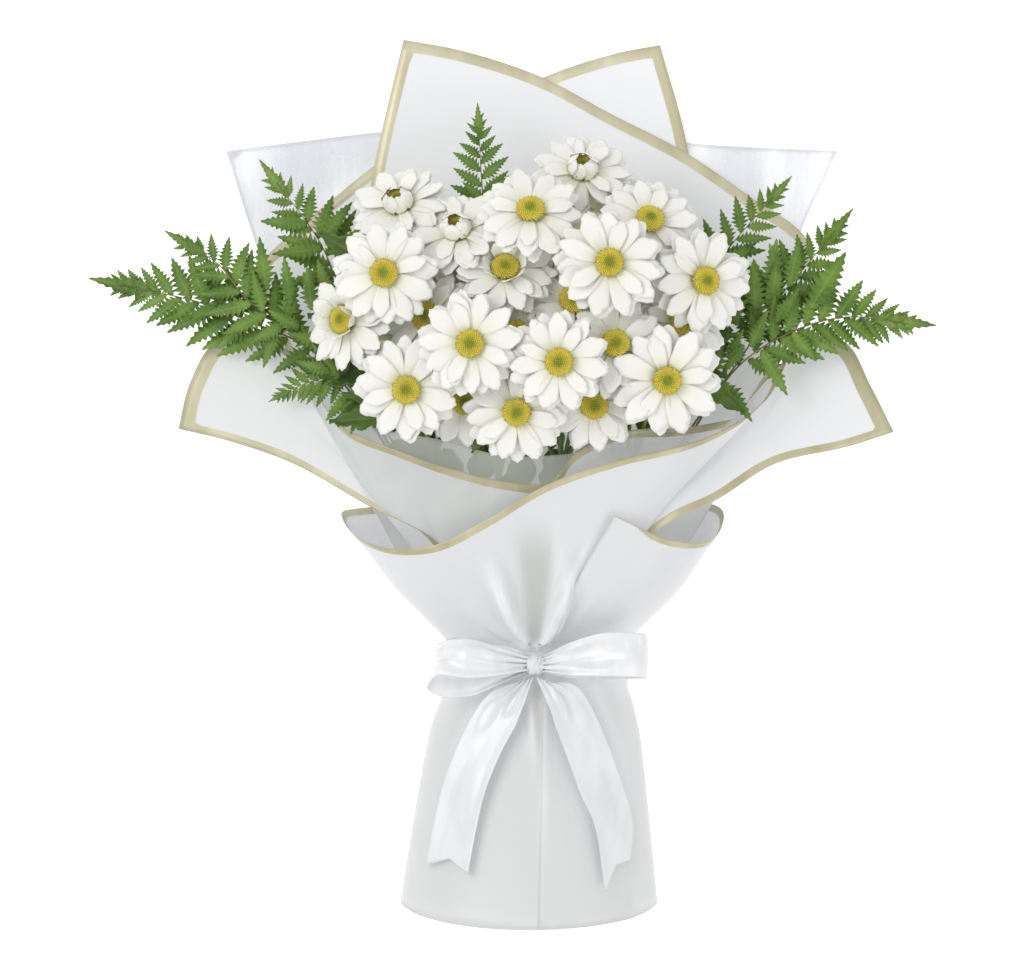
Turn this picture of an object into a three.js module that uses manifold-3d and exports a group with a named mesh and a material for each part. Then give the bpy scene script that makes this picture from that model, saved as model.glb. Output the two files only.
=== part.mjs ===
// A florist's bunch of white daisies with fern, wrapped in film and tied with a satin ribbon.
// It lies on its back on a surface: X to the right, Y from the stems to the flowers, Z up.
// Millimetres. The origin is on the surface, under the middle of the bunch.
import * as THREE from 'three';
import { mergeVertices } from 'three/addons/utils/BufferGeometryUtils.js';
import Module from 'manifold-3d';

// ---------------------------------------------------------------- driving dimensions
const SHEET = 0.8; // thickness of every film sheet and of the ribbon
const GAP = 0.35; // clearance between pieces that touch on the real bunch

// The neck is where the ribbon ties the wrap: an ellipse seen along Y.
const NECK = { x: 14, z: 37, halfWidth: 56, halfHeight: 35, top: -90, bottom: -112 };
// The skirt hangs below the tie and widens to its hem.
const HEM = { x: 9.7, y: -254, sideRise: 16, halfWidth: 73, halfHeight: 47 };
const SKIRT_START = { halfWidth: 54, halfHeight: 36 };

// How far each sheet lies inside the outer one at the neck.
const INSET = { flap: -3, outer: 0, clear: 4, inner: 2.4, backRight: 7, backLeft: 9.6, liner: 6.6 };

const BLOOM = {
  radius: 29.5,
  petalsInRow: 8,
  petalWidth: 12.4,
  rootRadius: 5,
  discRadius: 8.3,
  discHeight: 4.2,
  discSides: 10,
  calyxDepth: 7,
};
const PETAL_ROWS = [
  { height: 0.2, pitch: 14, curl: -26, reach: 1 },
  { height: -2.6, pitch: 2, curl: -14, reach: 0.97 },
];
const STEM = { main: 2.5, pedicel: 1.25, leafStalk: 0.95, cutEnd: -226 };
const FROND = { rib: 0.9, thickness: 0.75, stipe: 1.3 };
const RIBBON = { bandWidth: 20, knot: [8, 7, 5] };

const COLOUR = {
  petal: 0xf4f3ea,
  disc: 0xb9a62c,
  stem: 0x6f8f45,
  fern: 0x5c7330,
  frosted: 0xe6e7ea,
  clear: 0xeef0f3,
  ribbon: 0xf8f9fb,
};

// ---------------------------------------------------------------- small helpers
const rad = THREE.MathUtils.degToRad;
const lerp = THREE.MathUtils.lerp;
const vec = (p) => new THREE.Vector3(...p);
const UP = new THREE.Vector3(0, 0, 1);

// A seeded draw, the same on each run.
function seededDraw(seed) {
  let state = seed;
  return () => {
    state = (state * 1664525 + 1013904223) % 4294967296;
    return state / 4294967296;
  };
}

const wasm = await Module();
wasm.setup();

function solidOf(geometry) {
  const bare = geometry.clone();
  bare.deleteAttribute('normal');
  bare.deleteAttribute('uv');
  const merged = mergeVertices(bare, 1e-3);
  const triVerts = new Uint32Array(merged.index.array);
  const vertProperties = merged.attributes.position.array;
  let solid = new wasm.Manifold(new wasm.Mesh({ numProp: 3, vertProperties, triVerts }));
  if (solid.volume() < 0) {
    for (let i = 0; i < triVerts.length; i += 3) {
      [triVerts[i + 1], triVerts[i + 2]] = [triVerts[i + 2], triVerts[i + 1]];
    }
    solid = new wasm.Manifold(new wasm.Mesh({ numProp: 3, vertProperties, triVerts }));
  }
  return solid;
}

// Joins solids and keeps the one largest body: a loose scrap is dropped.
function joined(solids) {
  let whole = solids[0];
  for (const solid of solids.slice(1)) whole = whole.add(solid);
  const bodies = whole.decompose();
  return bodies.reduce((best, body) => (body.volume() > best.volume() ? body : best));
}

function geometryOf(solid) {
  const mesh = solid.getMesh();
  const geometry = new THREE.BufferGeometry();
  geometry.setAttribute('position', new THREE.BufferAttribute(mesh.vertProperties, 3));
  geometry.setIndex(new THREE.BufferAttribute(mesh.triVerts, 1));
  geometry.computeVertexNormals();
  return geometry;
}

// ---------------------------------------------------------------- what already stands in the way
const group = new THREE.Group();
const obstacles = [];

function boxesMeet(a, b) {
  const apart = [0, 1, 2].some((i) => a.min[i] > b.max[i] || b.min[i] > a.max[i]);
  return !apart;
}

function isClear(solid, others = obstacles) {
  const box = solid.boundingBox();
  return others.every((other) => {
    if (!boxesMeet(box, other.box)) return true;
    return solid.intersect(other.solid).isEmpty();
  });
}

function obstacle(solid) {
  return { solid, box: solid.boundingBox() };
}

function addPiece(name, solid, colour, roughness = 0.6) {
  const material = new THREE.MeshStandardMaterial({ color: colour, roughness, metalness: 0 });
  const mesh = new THREE.Mesh(geometryOf(solid), material);
  mesh.name = name;
  group.add(mesh);
  obstacles.push(obstacle(solid));
}

// ---------------------------------------------------------------- sheets
// A sheet is a grid of points given on its outer face; the inner face lies one thickness behind,
// towards the axis of the bunch. Both faces are split into triangles alike.
function sheetSolid(grid, thickness = SHEET, flip = false) {
  const rows = grid.length;
  const columns = grid[0].length;
  const at = (r, c) => grid[THREE.MathUtils.clamp(r, 0, rows - 1)][THREE.MathUtils.clamp(c, 0, columns - 1)];
  const positions = [];
  const inner = [];
  for (let r = 0; r < rows; r++) {
    for (let c = 0; c < columns; c++) {
      const across = at(r, c + 1).clone().sub(at(r, c - 1));
      const along = at(r + 1, c).clone().sub(at(r - 1, c));
      const normal = across.cross(along).normalize().multiplyScalar(flip ? -thickness : thickness);
      positions.push(...at(r, c).toArray());
      inner.push(...at(r, c).clone().add(normal).toArray());
    }
  }
  const index = [];
  const total = rows * columns;
  const id = (r, c) => r * columns + c;
  const quad = (a, b, c, d) => index.push(a, b, c, a, c, d);
  for (let r = 0; r + 1 < rows; r++) {
    for (let c = 0; c + 1 < columns; c++) {
      const corners = [id(r, c), id(r + 1, c), id(r + 1, c + 1), id(r, c + 1)];
      const [a, b, d, e] = corners;
      quad(a, b, d, e);
      index.push(a + total, d + total, b + total, a + total, e + total, d + total);
    }
  }
  const rim = [];
  for (let c = 0; c < columns; c++) rim.push(id(0, c));
  for (let r = 1; r < rows; r++) rim.push(id(r, columns - 1));
  for (let c = columns - 2; c >= 0; c--) rim.push(id(rows - 1, c));
  for (let r = rows - 2; r > 0; r--) rim.push(id(r, 0));
  rim.forEach((a, i) => {
    const b = rim[(i + 1) % rim.length];
    quad(a, b, b + total, a + total);
  });
  const geometry = new THREE.BufferGeometry();
  geometry.setAttribute('position', new THREE.Float32BufferAttribute([...positions, ...inner], 3));
  geometry.setIndex(index);
  return solidOf(geometry);
}

function neckPoint(angle, inset, y) {
  const x = NECK.x + (NECK.halfWidth - inset) * Math.cos(rad(angle));
  const z = NECK.z + (NECK.halfHeight - inset) * Math.sin(rad(angle));
  return new THREE.Vector3(x, y, z);
}

// s runs from 0 just below the tie to 1 at the hem, which dips lowest at the front.
function skirtPoint(angle, inset, s) {
  const widening = s ** 0.85;
  const halfWidth = lerp(SKIRT_START.halfWidth, HEM.halfWidth, widening) - inset;
  const outerHeight = lerp(SKIRT_START.halfHeight, HEM.halfHeight, widening);
  const x = lerp(NECK.x, HEM.x, s) + halfWidth * Math.cos(rad(angle));
  const z = outerHeight + (outerHeight - inset) * Math.sin(rad(angle));
  const hem = HEM.y + HEM.sideRise * (1 - Math.max(0, Math.sin(rad(angle))));
  return new THREE.Vector3(x, lerp(NECK.bottom, hem, s), Math.max(z, Math.max(inset, 0)));
}

// Each column of a sheet runs from its free edge through a few points down to the neck and on into
// the skirt: [angle at the neck, inset at the neck, points from the edge down].
function wrapGrid(columns, coneRows, skirtRows) {
  const lines = columns.map(([angle, inset, path]) => {
    const neckTop = neckPoint(angle, inset, NECK.top);
    const curve = new THREE.CatmullRomCurve3([...path.map(vec), neckTop], false, 'centripetal');
    const line = coneRows.map((u) => curve.getPointAt(u));
    for (const point of line) point.z = Math.max(point.z, 0);
    line.push(neckPoint(angle, inset, NECK.bottom));
    skirtRows.forEach((s) => line.push(skirtPoint(angle, inset, s)));
    return line;
  });
  return lines[0].map((_, row) => lines.map((line) => line[row]));
}

// Outer sheet, from the edge of the front flap round the right side, the back and the left side to
// the front panel, and on to the wing that folds out at the right.
const OUTER_COLUMNS = [
  [86, INSET.flap, [[58.4, -18.2, 107], [45, -41, 99]]],
  [60, INSET.flap, [[90.9, -31.9, 99], [68, -62, 88]]],
  [35, INSET.flap, [[112.6, -31.9, 83], [90, -62, 71]]],
  [10, INSET.flap + 1, [[120, -22, 62], [97, -58, 53]]],
  [-15, INSET.flap + 2, [[118, -13, 40], [97, -50, 33]]],
  [-45, 0, [[95, -10, 12], [76, -50, 9]]],
  [-75, 0, [[62, -12, 0], [42, -50, 0.6]]],
  [-105, 0, [[-8, -12, 0], [-4, -50, 0.6]]],
  [-135, 0, [[-54, -12, 0.6], [-42, -50, 5]]],
  [-165, 0, [[-88, -14, 24], [-66, -50, 26]]],
  [-190, 0, [[-97, -17, 52], [-70, -54, 50]]],
  [-210, 0, [[-88, -30, 78], [-62, -60, 68]]],
  [-230, 0, [[-70, -36.5, 92], [-47, -62, 79]]],
  [-245, 0, [[-44.7, -34.8, 101], [-27, -62, 86]]],
  [-257, 0, [[-14, -20, 106], [-7, -58, 92]]],
  [-268, 0, [[20.2, 0, 108], [17, -52, 92]]],
  [-280, 0, [[61, 14, 107], [48, -30, 95], [30, -68, 82]]],
  [-292, 0, [[109.7, 26.2, 97], [86, -8, 90], [54, -52, 82]]],
  [-302, 0, [[144.5, 47.9, 79], [120, 22, 82], [92, -6, 86], [60, -50, 81]]],
  [-310, 0, [[166, 82, 60], [138, 50, 66], [108, 18, 76], [82, -12, 84], [60, -50, 79]]],
  [-316, 0, [[190, 81, 58], [155, 46, 66], [118, 12, 77], [89, -12, 84], [64, -48, 78]]],
  [-320, 0, [[205, 55.5, 59], [165, 30, 68], [121, 3, 79], [92, -16, 84], [67, -45, 77]]],
  [-324, 0, [[218, 29.6, 60], [191, 21, 65], [150, 11.4, 72], [117, -9, 81], [90, -22, 85], [68, -44, 77]]],
];

// Inner sheet: the left wing, then the edge that dips across the front, then the right side.
const INNER_COLUMNS = [
  [
    141,
    INSET.inner,
    [
      [-190.7, 31.4, 56], [-159.9, 23.9, 61], [-124.5, 11.4, 68],
      [-82, -12.5, 79], [-42, -34, 88], [-32, -60, 76],
    ],
  ],
  [
    137,
    INSET.inner,
    [
      [-184, 58, 55], [-150, 40, 61], [-112, 16, 70],
      [-82, -5, 78], [-50, -32, 83], [-36, -58, 75],
    ],
  ],
  [
    133,
    INSET.inner,
    [
      [-168.4, 82.1, 55], [-142, 58, 61], [-112, 28, 70],
      [-84, 0, 77], [-54, -32, 80], [-36, -60, 74],
    ],
  ],
  [128, INSET.inner, [[-136, 82, 60], [-112, 42, 70], [-90, 6, 78], [-60, -32, 79], [-36, -62, 74]]],
  [119, INSET.inner, [[-97.2, 33.1, 86], [-78, 0, 86], [-42, -52, 78]]],
  [109, INSET.inner, [[-67.5, 20, 96], [-50, -15, 92], [-22, -58, 81]]],
  [98, INSET.inner, [[-35.1, 8.6, 101], [-22, -25, 95], [-2, -62, 83]]],
  [88, INSET.inner, [[-5, 1.5, 103], [2, -30, 96], [12, -64, 83]]],
  [77, INSET.inner, [[22, 1, 102], [25, -28, 95], [24, -62, 83]]],
  [65, INSET.inner, [[36, 18, 101], [37, -20, 94], [34, -60, 81]]],
  [51, INSET.inner, [[62, 29.5, 97], [58, -5, 85], [44, -55, 74]]],
  [36, INSET.inner, [[95, 31.5, 86], [84, 2, 74], [68, -34, 68], [54, -64, 64]]],
  [20, INSET.inner, [[122, 36, 70], [106, 6, 66], [86, -28, 60], [68, -62, 55]]],
  [2, INSET.inner, [[140, 40, 50], [122, 4, 50], [110, -20, 48], [82, -62, 41]]],
];

const LINER_COLUMNS = [
  [148, INSET.liner, [[-98, 36, 70], [-70, -15, 70], [-42, -60, 60]]],
  [128, INSET.liner, [[-70, 30, 84], [-48, -15, 81], [-25, -60, 67]]],
  [110, INSET.liner, [[-38, 24.5, 90], [-25, -15, 85], [-8, -60, 72]]],
  [90, INSET.liner, [[-5, 16, 93], [2, -20, 87], [10, -60, 74]]],
  [70, INSET.liner, [[27, 16.5, 93], [28, -20, 87], [26, -60, 73]]],
  [50, INSET.liner, [[60, 21, 84], [54, -20, 74], [40, -60, 65]]],
  [28, INSET.liner, [[96, 26, 66], [78, -16, 58], [57, -60, 52]]],
];

const BACK_RIGHT_COLUMNS = [
  [
    172,
    INSET.backRight,
    [
      [-149.1, 122.6, 22], [-131, 80, 42], [-105, 30, 54],
      [-82, -10, 57], [-55, -60, 51],
    ],
  ],
  [
    200,
    INSET.backRight,
    [
      [-134.2, 137.4, 14], [-112, 80, 24], [-90, 20, 30],
      [-70, -20, 31], [-47, -60, 28],
    ],
  ],
  [225, INSET.backRight, [[-101.2, 165.3, 8], [-85, 80, 10], [-66, 0, 13], [-37, -60, 14]]],
  [250, INSET.backRight, [[-75.5, 185.3, 5], [-55, 80, 5.5], [-38, 0, 7], [-14, -60, 9.5]]],
  [270, INSET.backRight, [[-24.8, 212, 3.8], [-10, 80, 3.8], [0, 0, 5.5], [9, -60, 8.5]]],
  [290, INSET.backRight, [[19.1, 234.3, 3.8], [28, 80, 3.8], [30, 0, 5.5], [24, -60, 8.5]]],
  [305, INSET.backRight, [[59, 247.4, 3.8], [66, 80, 3.8], [55, 0, 6], [38, -60, 10]]],
  [
    318,
    INSET.backRight,
    [
      [85.2, 252.5, 3.8], [101.2, 192.1, 3.8], [108, 120, 4],
      [102, 60, 5], [76, 0, 9], [48, -60, 15],
    ],
  ],
];

const BACK_LEFT_COLUMNS = [
  [
    222,
    INSET.backLeft,
    [
      [-62.4, 255.4, 7.6], [-80.7, 173.9, 10], [-88, 100, 15.5],
      [-74, 20, 22], [-50, -30, 22], [-32, -60, 21],
    ],
  ],
  [240, INSET.backLeft, [[-28.8, 249.1, 5.4], [-38, 100, 10], [-34, 0, 12], [-14, -60, 15]]],
  [262, INSET.backLeft, [[16.2, 234.3, 5], [5, 100, 7.6], [0, 0, 9.5], [7, -60, 12.5]]],
  [280, INSET.backLeft, [[56.1, 213.2, 5], [42, 100, 7.6], [28, 0, 9.5], [22, -60, 12.5]]],
  [298, INSET.backLeft, [[98.9, 191, 8], [80, 100, 8.5], [56, 0, 11.5], [36, -60, 15]]],
  [318, INSET.backLeft, [[134.8, 166.4, 11], [118, 90, 17], [84, 0, 20], [49, -60, 20]]],
  [342, INSET.backLeft, [[169, 140.8, 20], [142, 80, 32], [101, 0, 37], [61, -60, 34]]],
  [368, INSET.backLeft, [[174, 108, 40], [145, 58, 53], [104, 0, 54], [64, -60, 48]]],
];

const CLEAR_COLUMNS = [
  [
    225,
    INSET.clear,
    [
      [-164.4, 191.5, 0], [-147.3, 137.4, 0], [-118, 60, 0],
      [-66, 6, 0], [-38, -10, 2.6], [-20, -60, 7.5],
    ],
  ],
  [242, INSET.clear, [[-81.8, 201.8, 0], [-60, 60, 0], [-36, 6, 0], [-22, -10, 2.4], [-10, -60, 6.5]]],
  [258, INSET.clear, [[-20, 207, 0], [-10, 60, 0], [0, 6, 0], [1, -10, 2.2], [6, -60, 6]]],
  [282, INSET.clear, [[45, 205, 0], [35, 60, 0], [28, 6, 0], [27, -10, 2.2], [23, -60, 6]]],
  [298, INSET.clear, [[101.7, 196.1, 0], [90, 60, 0], [56, 6, 0], [46, -10, 2.4], [35, -60, 6.5]]],
  [
    315,
    INSET.clear,
    [
      [187.2, 191.5, 0], [167.3, 148.2, 0], [135, 60, 0],
      [84, 6, 0], [58, -10, 2.6], [44, -60, 7.5],
    ],
  ],
];

// Shares of the way from the free edge to the neck, then from the neck to the hem.
const CONE_ROWS = [0, 0.3, 0.6, 0.82, 1];
const CLEAR_ROWS = [0, 0.3, 0.6, 0.8, 1];
const LINER_ROWS = [0, 0.35, 0.7, 1];
const SKIRT_ROWS = [0.3, 0.65, 1];
const HIDDEN_SKIRT_ROWS = [0.5, 0.93];

function wrapSolid(columns, coneRows, skirtRows, flip) {
  return sheetSolid(wrapGrid(columns, coneRows, skirtRows), SHEET, flip);
}

function buildWrap() {
  const clear = wrapSolid(CLEAR_COLUMNS, CLEAR_ROWS, HIDDEN_SKIRT_ROWS, true);
  addPiece('clear_film', clear, COLOUR.clear, 0.15);
  const backRight = wrapSolid(BACK_RIGHT_COLUMNS, CONE_ROWS, HIDDEN_SKIRT_ROWS, true);
  addPiece('back_sheet_right', backRight, COLOUR.frosted);
  const backLeft = wrapSolid(BACK_LEFT_COLUMNS, CONE_ROWS, HIDDEN_SKIRT_ROWS, true);
  addPiece('back_sheet_left', backLeft, COLOUR.frosted);
  addPiece('outer_sheet', wrapSolid(OUTER_COLUMNS, CONE_ROWS, SKIRT_ROWS, false), COLOUR.frosted);
  addPiece('inner_sheet', wrapSolid(INNER_COLUMNS, CONE_ROWS, HIDDEN_SKIRT_ROWS, false), COLOUR.frosted);
  addPiece('liner_sheet', wrapSolid(LINER_COLUMNS, LINER_ROWS, HIDDEN_SKIRT_ROWS, false), COLOUR.frosted);
}

// ---------------------------------------------------------------- ribbon
// A strip of ribbon: stations along it, each with its middle and the half width to either side.
function stripSolid(stations) {
  const grid = stations.map(({ middle, half, crown = 0 }) => {
    const centre = vec(middle);
    const side = vec(half);
    const raised = centre.clone().add(new THREE.Vector3(0, crown, 0));
    return [centre.clone().sub(side), raised, centre.clone().add(side)];
  });
  return sheetSolid(grid);
}

// The band follows the neck just outside the outer sheet, flap included.
function bandSolid() {
  const half = RIBBON.bandWidth / 2;
  const middle = (NECK.top + NECK.bottom) / 2;
  const fullTurn = OUTER_COLUMNS.filter(([angle]) => angle > OUTER_COLUMNS[0][0] - 355).reverse();
  const ring = (growth) =>
    fullTurn.map(([angle, inset]) => {
      const point = neckPoint(angle, inset - growth, 0);
      return new THREE.Vector2(point.x, point.z);
    });
  const outline = ring(GAP + SHEET);
  const opening = ring(GAP);
  const shape = new THREE.Shape(outline);
  shape.holes.push(new THREE.Path(opening));
  const geometry = new THREE.ExtrudeGeometry(shape, { depth: RIBBON.bandWidth, bevelEnabled: false });
  geometry.rotateX(Math.PI / 2);
  geometry.translate(0, middle + half, 0);
  return solidOf(geometry);
}

const KNOT = { x: 12.8, y: -103, z: 81.6 };

function knotSolid() {
  const knot = new THREE.SphereGeometry(1, 10, 6);
  knot.scale(...RIBBON.knot);
  knot.translate(KNOT.x, KNOT.y, KNOT.z);
  return solidOf(knot);
}

// Loops leave the knot low, run out, turn and come back above.
const LOOP_LEFT = [
  { middle: [4.2, -103, 80.5], half: [0, 5, 0] },
  { middle: [-8, -104, 81], half: [0.5, 9, 0] },
  { middle: [-27, -107, 82], half: [1, 12, 0] },
  { middle: [-42, -108.5, 84], half: [1.5, 12.5, 0] },
  { middle: [-47, -108, 91], half: [1.5, 12.5, 0] },
  { middle: [-42, -106, 98], half: [1.5, 12.5, 0] },
  { middle: [-27, -102.5, 101], half: [1, 12, 0] },
  { middle: [-9, -101, 96], half: [0.5, 9, 0] },
  { middle: [3.8, -102.5, 86.5], half: [0, 5, 0] },
];
const LOOP_RIGHT = [
  { middle: [21.2, -103, 80.5], half: [0, 5, 0] },
  { middle: [34, -103, 81.5], half: [-0.5, 9, 0] },
  { middle: [55, -101, 82.5], half: [-1, 12, 0] },
  { middle: [73, -100, 84], half: [-1, 12.5, 0] },
  { middle: [79, -98.5, 91], half: [-1, 12.5, 0] },
  { middle: [74, -96, 98], half: [-1, 12.5, 0] },
  { middle: [56, -93.5, 101], half: [-1, 12, 0] },
  { middle: [34, -97, 96], half: [-0.5, 9, 0] },
  { middle: [21.5, -102.5, 86.5], half: [0, 5, 0] },
];
// Tails lie on the front of the skirt; their heights follow it.
const TAIL_LEFT = [
  { middle: [8.2, -111.5], half: [4, 1.5] },
  { middle: [-1, -121], half: [8.2, -4.8] },
  { middle: [-8.5, -132.5], half: [10.5, -6.2] },
  { middle: [-17, -148], half: [11.3, -4.9] },
  { middle: [-26, -170], half: [11.7, -3.8] },
  { middle: [-31.5, -192], half: [12, -2.9] },
  { middle: [-37, -220], half: [12.3, -2.3], crown: 6 },
];
const TAIL_RIGHT = [
  { middle: [17.6, -111.5], half: [4, -1.5] },
  { middle: [29, -121], half: [8.5, 5.3] },
  { middle: [36, -135], half: [10.9, 4.9] },
  { middle: [42, -150], half: [11.5, 4.4] },
  { middle: [50, -172], half: [11.6, 4.1] },
  { middle: [57.5, -193], half: [10.8, 2.3] },
  { middle: [60, -223.5], half: [7.4, 8.8], crown: 7 },
];

// Height of the front of the skirt at a point of the plan.
function skirtFront(x, y) {
  const s = THREE.MathUtils.clamp((y - NECK.bottom) / (HEM.y - NECK.bottom), 0, 1);
  const widening = s ** 0.85;
  const halfWidth = lerp(SKIRT_START.halfWidth, HEM.halfWidth, widening) - INSET.flap;
  const halfHeight = lerp(SKIRT_START.halfHeight, HEM.halfHeight, widening);
  const across = (x - lerp(NECK.x, HEM.x, s)) / halfWidth;
  return halfHeight + (halfHeight - INSET.flap) * Math.sqrt(Math.max(0, 1 - across * across));
}

function tailSolid(stations) {
  const clearance = 1.2;
  const grid = stations.map(({ middle: [x, y], half: [hx, hy], crown = 0 }) => {
    const plan = [
      [x - hx, y - hy],
      [x, y + crown],
      [x + hx, y + hy],
    ];
    return plan.map(([px, py]) => new THREE.Vector3(px, py, Math.max(skirtFront(px, py), 79) + clearance));
  });
  return sheetSolid(grid, SHEET, true);
}

function buildRibbon() {
  addPiece('ribbon_band', bandSolid(), COLOUR.ribbon, 0.35);
  addPiece('ribbon_knot', knotSolid(), COLOUR.ribbon, 0.35);
  addPiece('ribbon_loop_left', stripSolid(LOOP_LEFT), COLOUR.ribbon, 0.35);
  addPiece('ribbon_loop_right', stripSolid(LOOP_RIGHT), COLOUR.ribbon, 0.35);
  addPiece('ribbon_tail_left', tailSolid(TAIL_LEFT), COLOUR.ribbon, 0.35);
  addPiece('ribbon_tail_right', tailSolid(TAIL_RIGHT), COLOUR.ribbon, 0.35);
}

// ---------------------------------------------------------------- what grows
// A piece may touch what it grows into, so each obstacle knows its owner.
function clearOf(solid, owner) {
  const others = obstacles.filter((other) => other.owner !== owner);
  return isClear(solid, others);
}

function hold(solid, owner) {
  obstacles.push({ ...obstacle(solid), owner });
  return solid;
}

// The first of the candidates that touches nothing; each gives a solid with room round it to test
// and the solid to keep.
function firstClear(candidates, owner) {
  for (const make of candidates) {
    if (clearOf(make(GAP), owner)) return make(0);
  }
  return null;
}

function tubeSolid(curve, radius, sides, steps) {
  const ring = Array.from({ length: sides }, (_, i) => {
    const angle = (2 * Math.PI * i) / sides;
    return new THREE.Vector2(radius * Math.cos(angle), radius * Math.sin(angle));
  });
  const shape = new THREE.Shape(ring);
  return solidOf(new THREE.ExtrudeGeometry(shape, { steps, extrudePath: curve, bevelEnabled: false }));
}

// A stem whose cut end, given in the plan, lies on the back of the skirt: the first height at which
// it touches nothing.
function stemCurve(upper, [x, y], height) {
  return new THREE.CatmullRomCurve3([...upper, new THREE.Vector3(x, y, height)], false, 'centripetal');
}

function restingStem(upper, cutEnd, radius, sides, steps, owner) {
  const heights = Array.from({ length: 40 }, (_, i) => INSET.backLeft + radius + 0.3 * i);
  const candidates = heights.map((height) => (room) =>
    tubeSolid(stemCurve(upper, cutEnd, height), radius + room, sides, steps),
  );
  return firstClear(candidates, owner);
}

// A thin blade: a flat triangulated outline given as points in space, with the underside one
// thickness below along the blade's own up direction.
function bladeSolid(points, triangles, up, thickness) {
  const positions = points.flatMap((p) => p.toArray());
  points.forEach((p, i) => positions.push(...p.clone().addScaledVector(up, -thickness[i]).toArray()));
  const index = [];
  const edges = new Map();
  const count = points.length;
  triangles.forEach(([a, b, c]) => {
    index.push(a, b, c, a + count, c + count, b + count);
    [[a, b], [b, c], [c, a]].forEach(([from, to]) => {
      if (edges.has(`${to}_${from}`)) edges.delete(`${to}_${from}`);
      else edges.set(`${from}_${to}`, [from, to]);
    });
  });
  edges.forEach(([a, b]) => index.push(a, a + count, b + count, a, b + count, b));
  const geometry = new THREE.BufferGeometry();
  geometry.setAttribute('position', new THREE.Float32BufferAttribute(positions, 3));
  geometry.setIndex(index);
  return solidOf(geometry);
}

// One leaflet of a frond, with its own teeth: along it from the rib, across it towards the tip.
const LEAFLET = [
  [0.3, -0.5],
  [0.42, -0.28],
  [0.66, -0.36],
  [1, 0.06],
  [0.5, 0.48],
];
const LEAF_LOBE = [
  [0.55, -0.5],
  [1, 0.05],
  [0.5, 0.48],
];

// A frond or lobed leaf: leaflets cut to the rib in one thin arched blade.
function frondSolid(form) {
  const { spine, pairs, width, room = 0, lift = 0 } = form;
  const { lobe = LEAFLET, sweep = 62, droop = 0.18, fullest = 0.2 } = form;
  const curve = new THREE.CatmullRomCurve3(spine, false, 'centripetal');
  const along = curve.getPointAt(1).sub(curve.getPointAt(0));
  const side = UP.clone().cross(along).normalize();
  const up = along.clone().cross(side).normalize();
  const points = [];
  const thickness = [];
  const triangles = [];
  const place = (point, depth) => {
    points.push(point.clone().addScaledVector(up, lift + room));
    thickness.push(depth + 2 * room);
    return points.length - 1;
  };
  const stations = Array.from({ length: pairs + 1 }, (_, i) => (i / pairs) ** 0.9 * 0.94);
  const ribs = stations.map((u) => {
    const middle = curve.getPointAt(u);
    return [1, -1].map((hand) => {
      const ribWidth = FROND.rib * (1 - 0.6 * u) + room;
      return place(middle.clone().addScaledVector(side, hand * ribWidth), FROND.thickness + 0.7 * (1 - u));
    });
  });
  const tip = place(curve.getPointAt(1), FROND.thickness);
  for (let i = 0; i < pairs; i++) {
    const [left, right] = ribs[i];
    const [nextLeft, nextRight] = ribs[i + 1];
    triangles.push([left, right, nextRight], [left, nextRight, nextLeft]);
    const u = (stations[i] + stations[i + 1]) / 2;
    const tangent = curve.getTangentAt(u);
    const shape = u < fullest ? lerp(0.75, 1, u / fullest) : ((1 - u) / (1 - fullest)) ** 0.8;
    const reach = width * Math.max(shape, 0.12);
    const spread = curve.getLength() * (stations[i + 1] - stations[i]) * 0.86 + room;
    [1, -1].forEach((hand, k) => {
      const outward = tangent.clone().multiplyScalar(Math.cos(rad(sweep)));
      outward.addScaledVector(side, hand * Math.sin(rad(sweep)));
      const from = hand > 0 ? left : right;
      const to = hand > 0 ? nextLeft : nextRight;
      const base = points[from].clone().lerp(points[to], 0.5).addScaledVector(up, -lift - room);
      const outline = lobe.map(([a, b]) => {
        const p = base.clone().addScaledVector(outward, a * reach);
        p.addScaledVector(tangent, b * spread * (1 - 0.25 * a));
        p.addScaledVector(up, -droop * reach * a * a);
        return place(p, FROND.thickness);
      });
      const ids = [from, ...outline, to];
      const flat = ids.map((id) => {
        const offset = points[id].clone().sub(base);
        return new THREE.Vector2(offset.dot(tangent), offset.dot(side) * (hand > 0 ? 1 : -1));
      });
      const order = k === 0 ? [0, 1, 2] : [0, 2, 1];
      THREE.ShapeUtils.triangulateShape(flat, []).forEach((t) => triangles.push(order.map((n) => ids[t[n]])));
    });
  }
  const [left, right] = ribs[pairs];
  triangles.push([left, right, tip]);
  const facing = triangles.map(([a, b, c]) => {
    const normal = points[b].clone().sub(points[a]).cross(points[c].clone().sub(points[a]));
    return normal.dot(up) > 0 ? [a, b, c] : [a, c, b];
  });
  return bladeSolid(points, facing, up, thickness);
}

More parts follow.
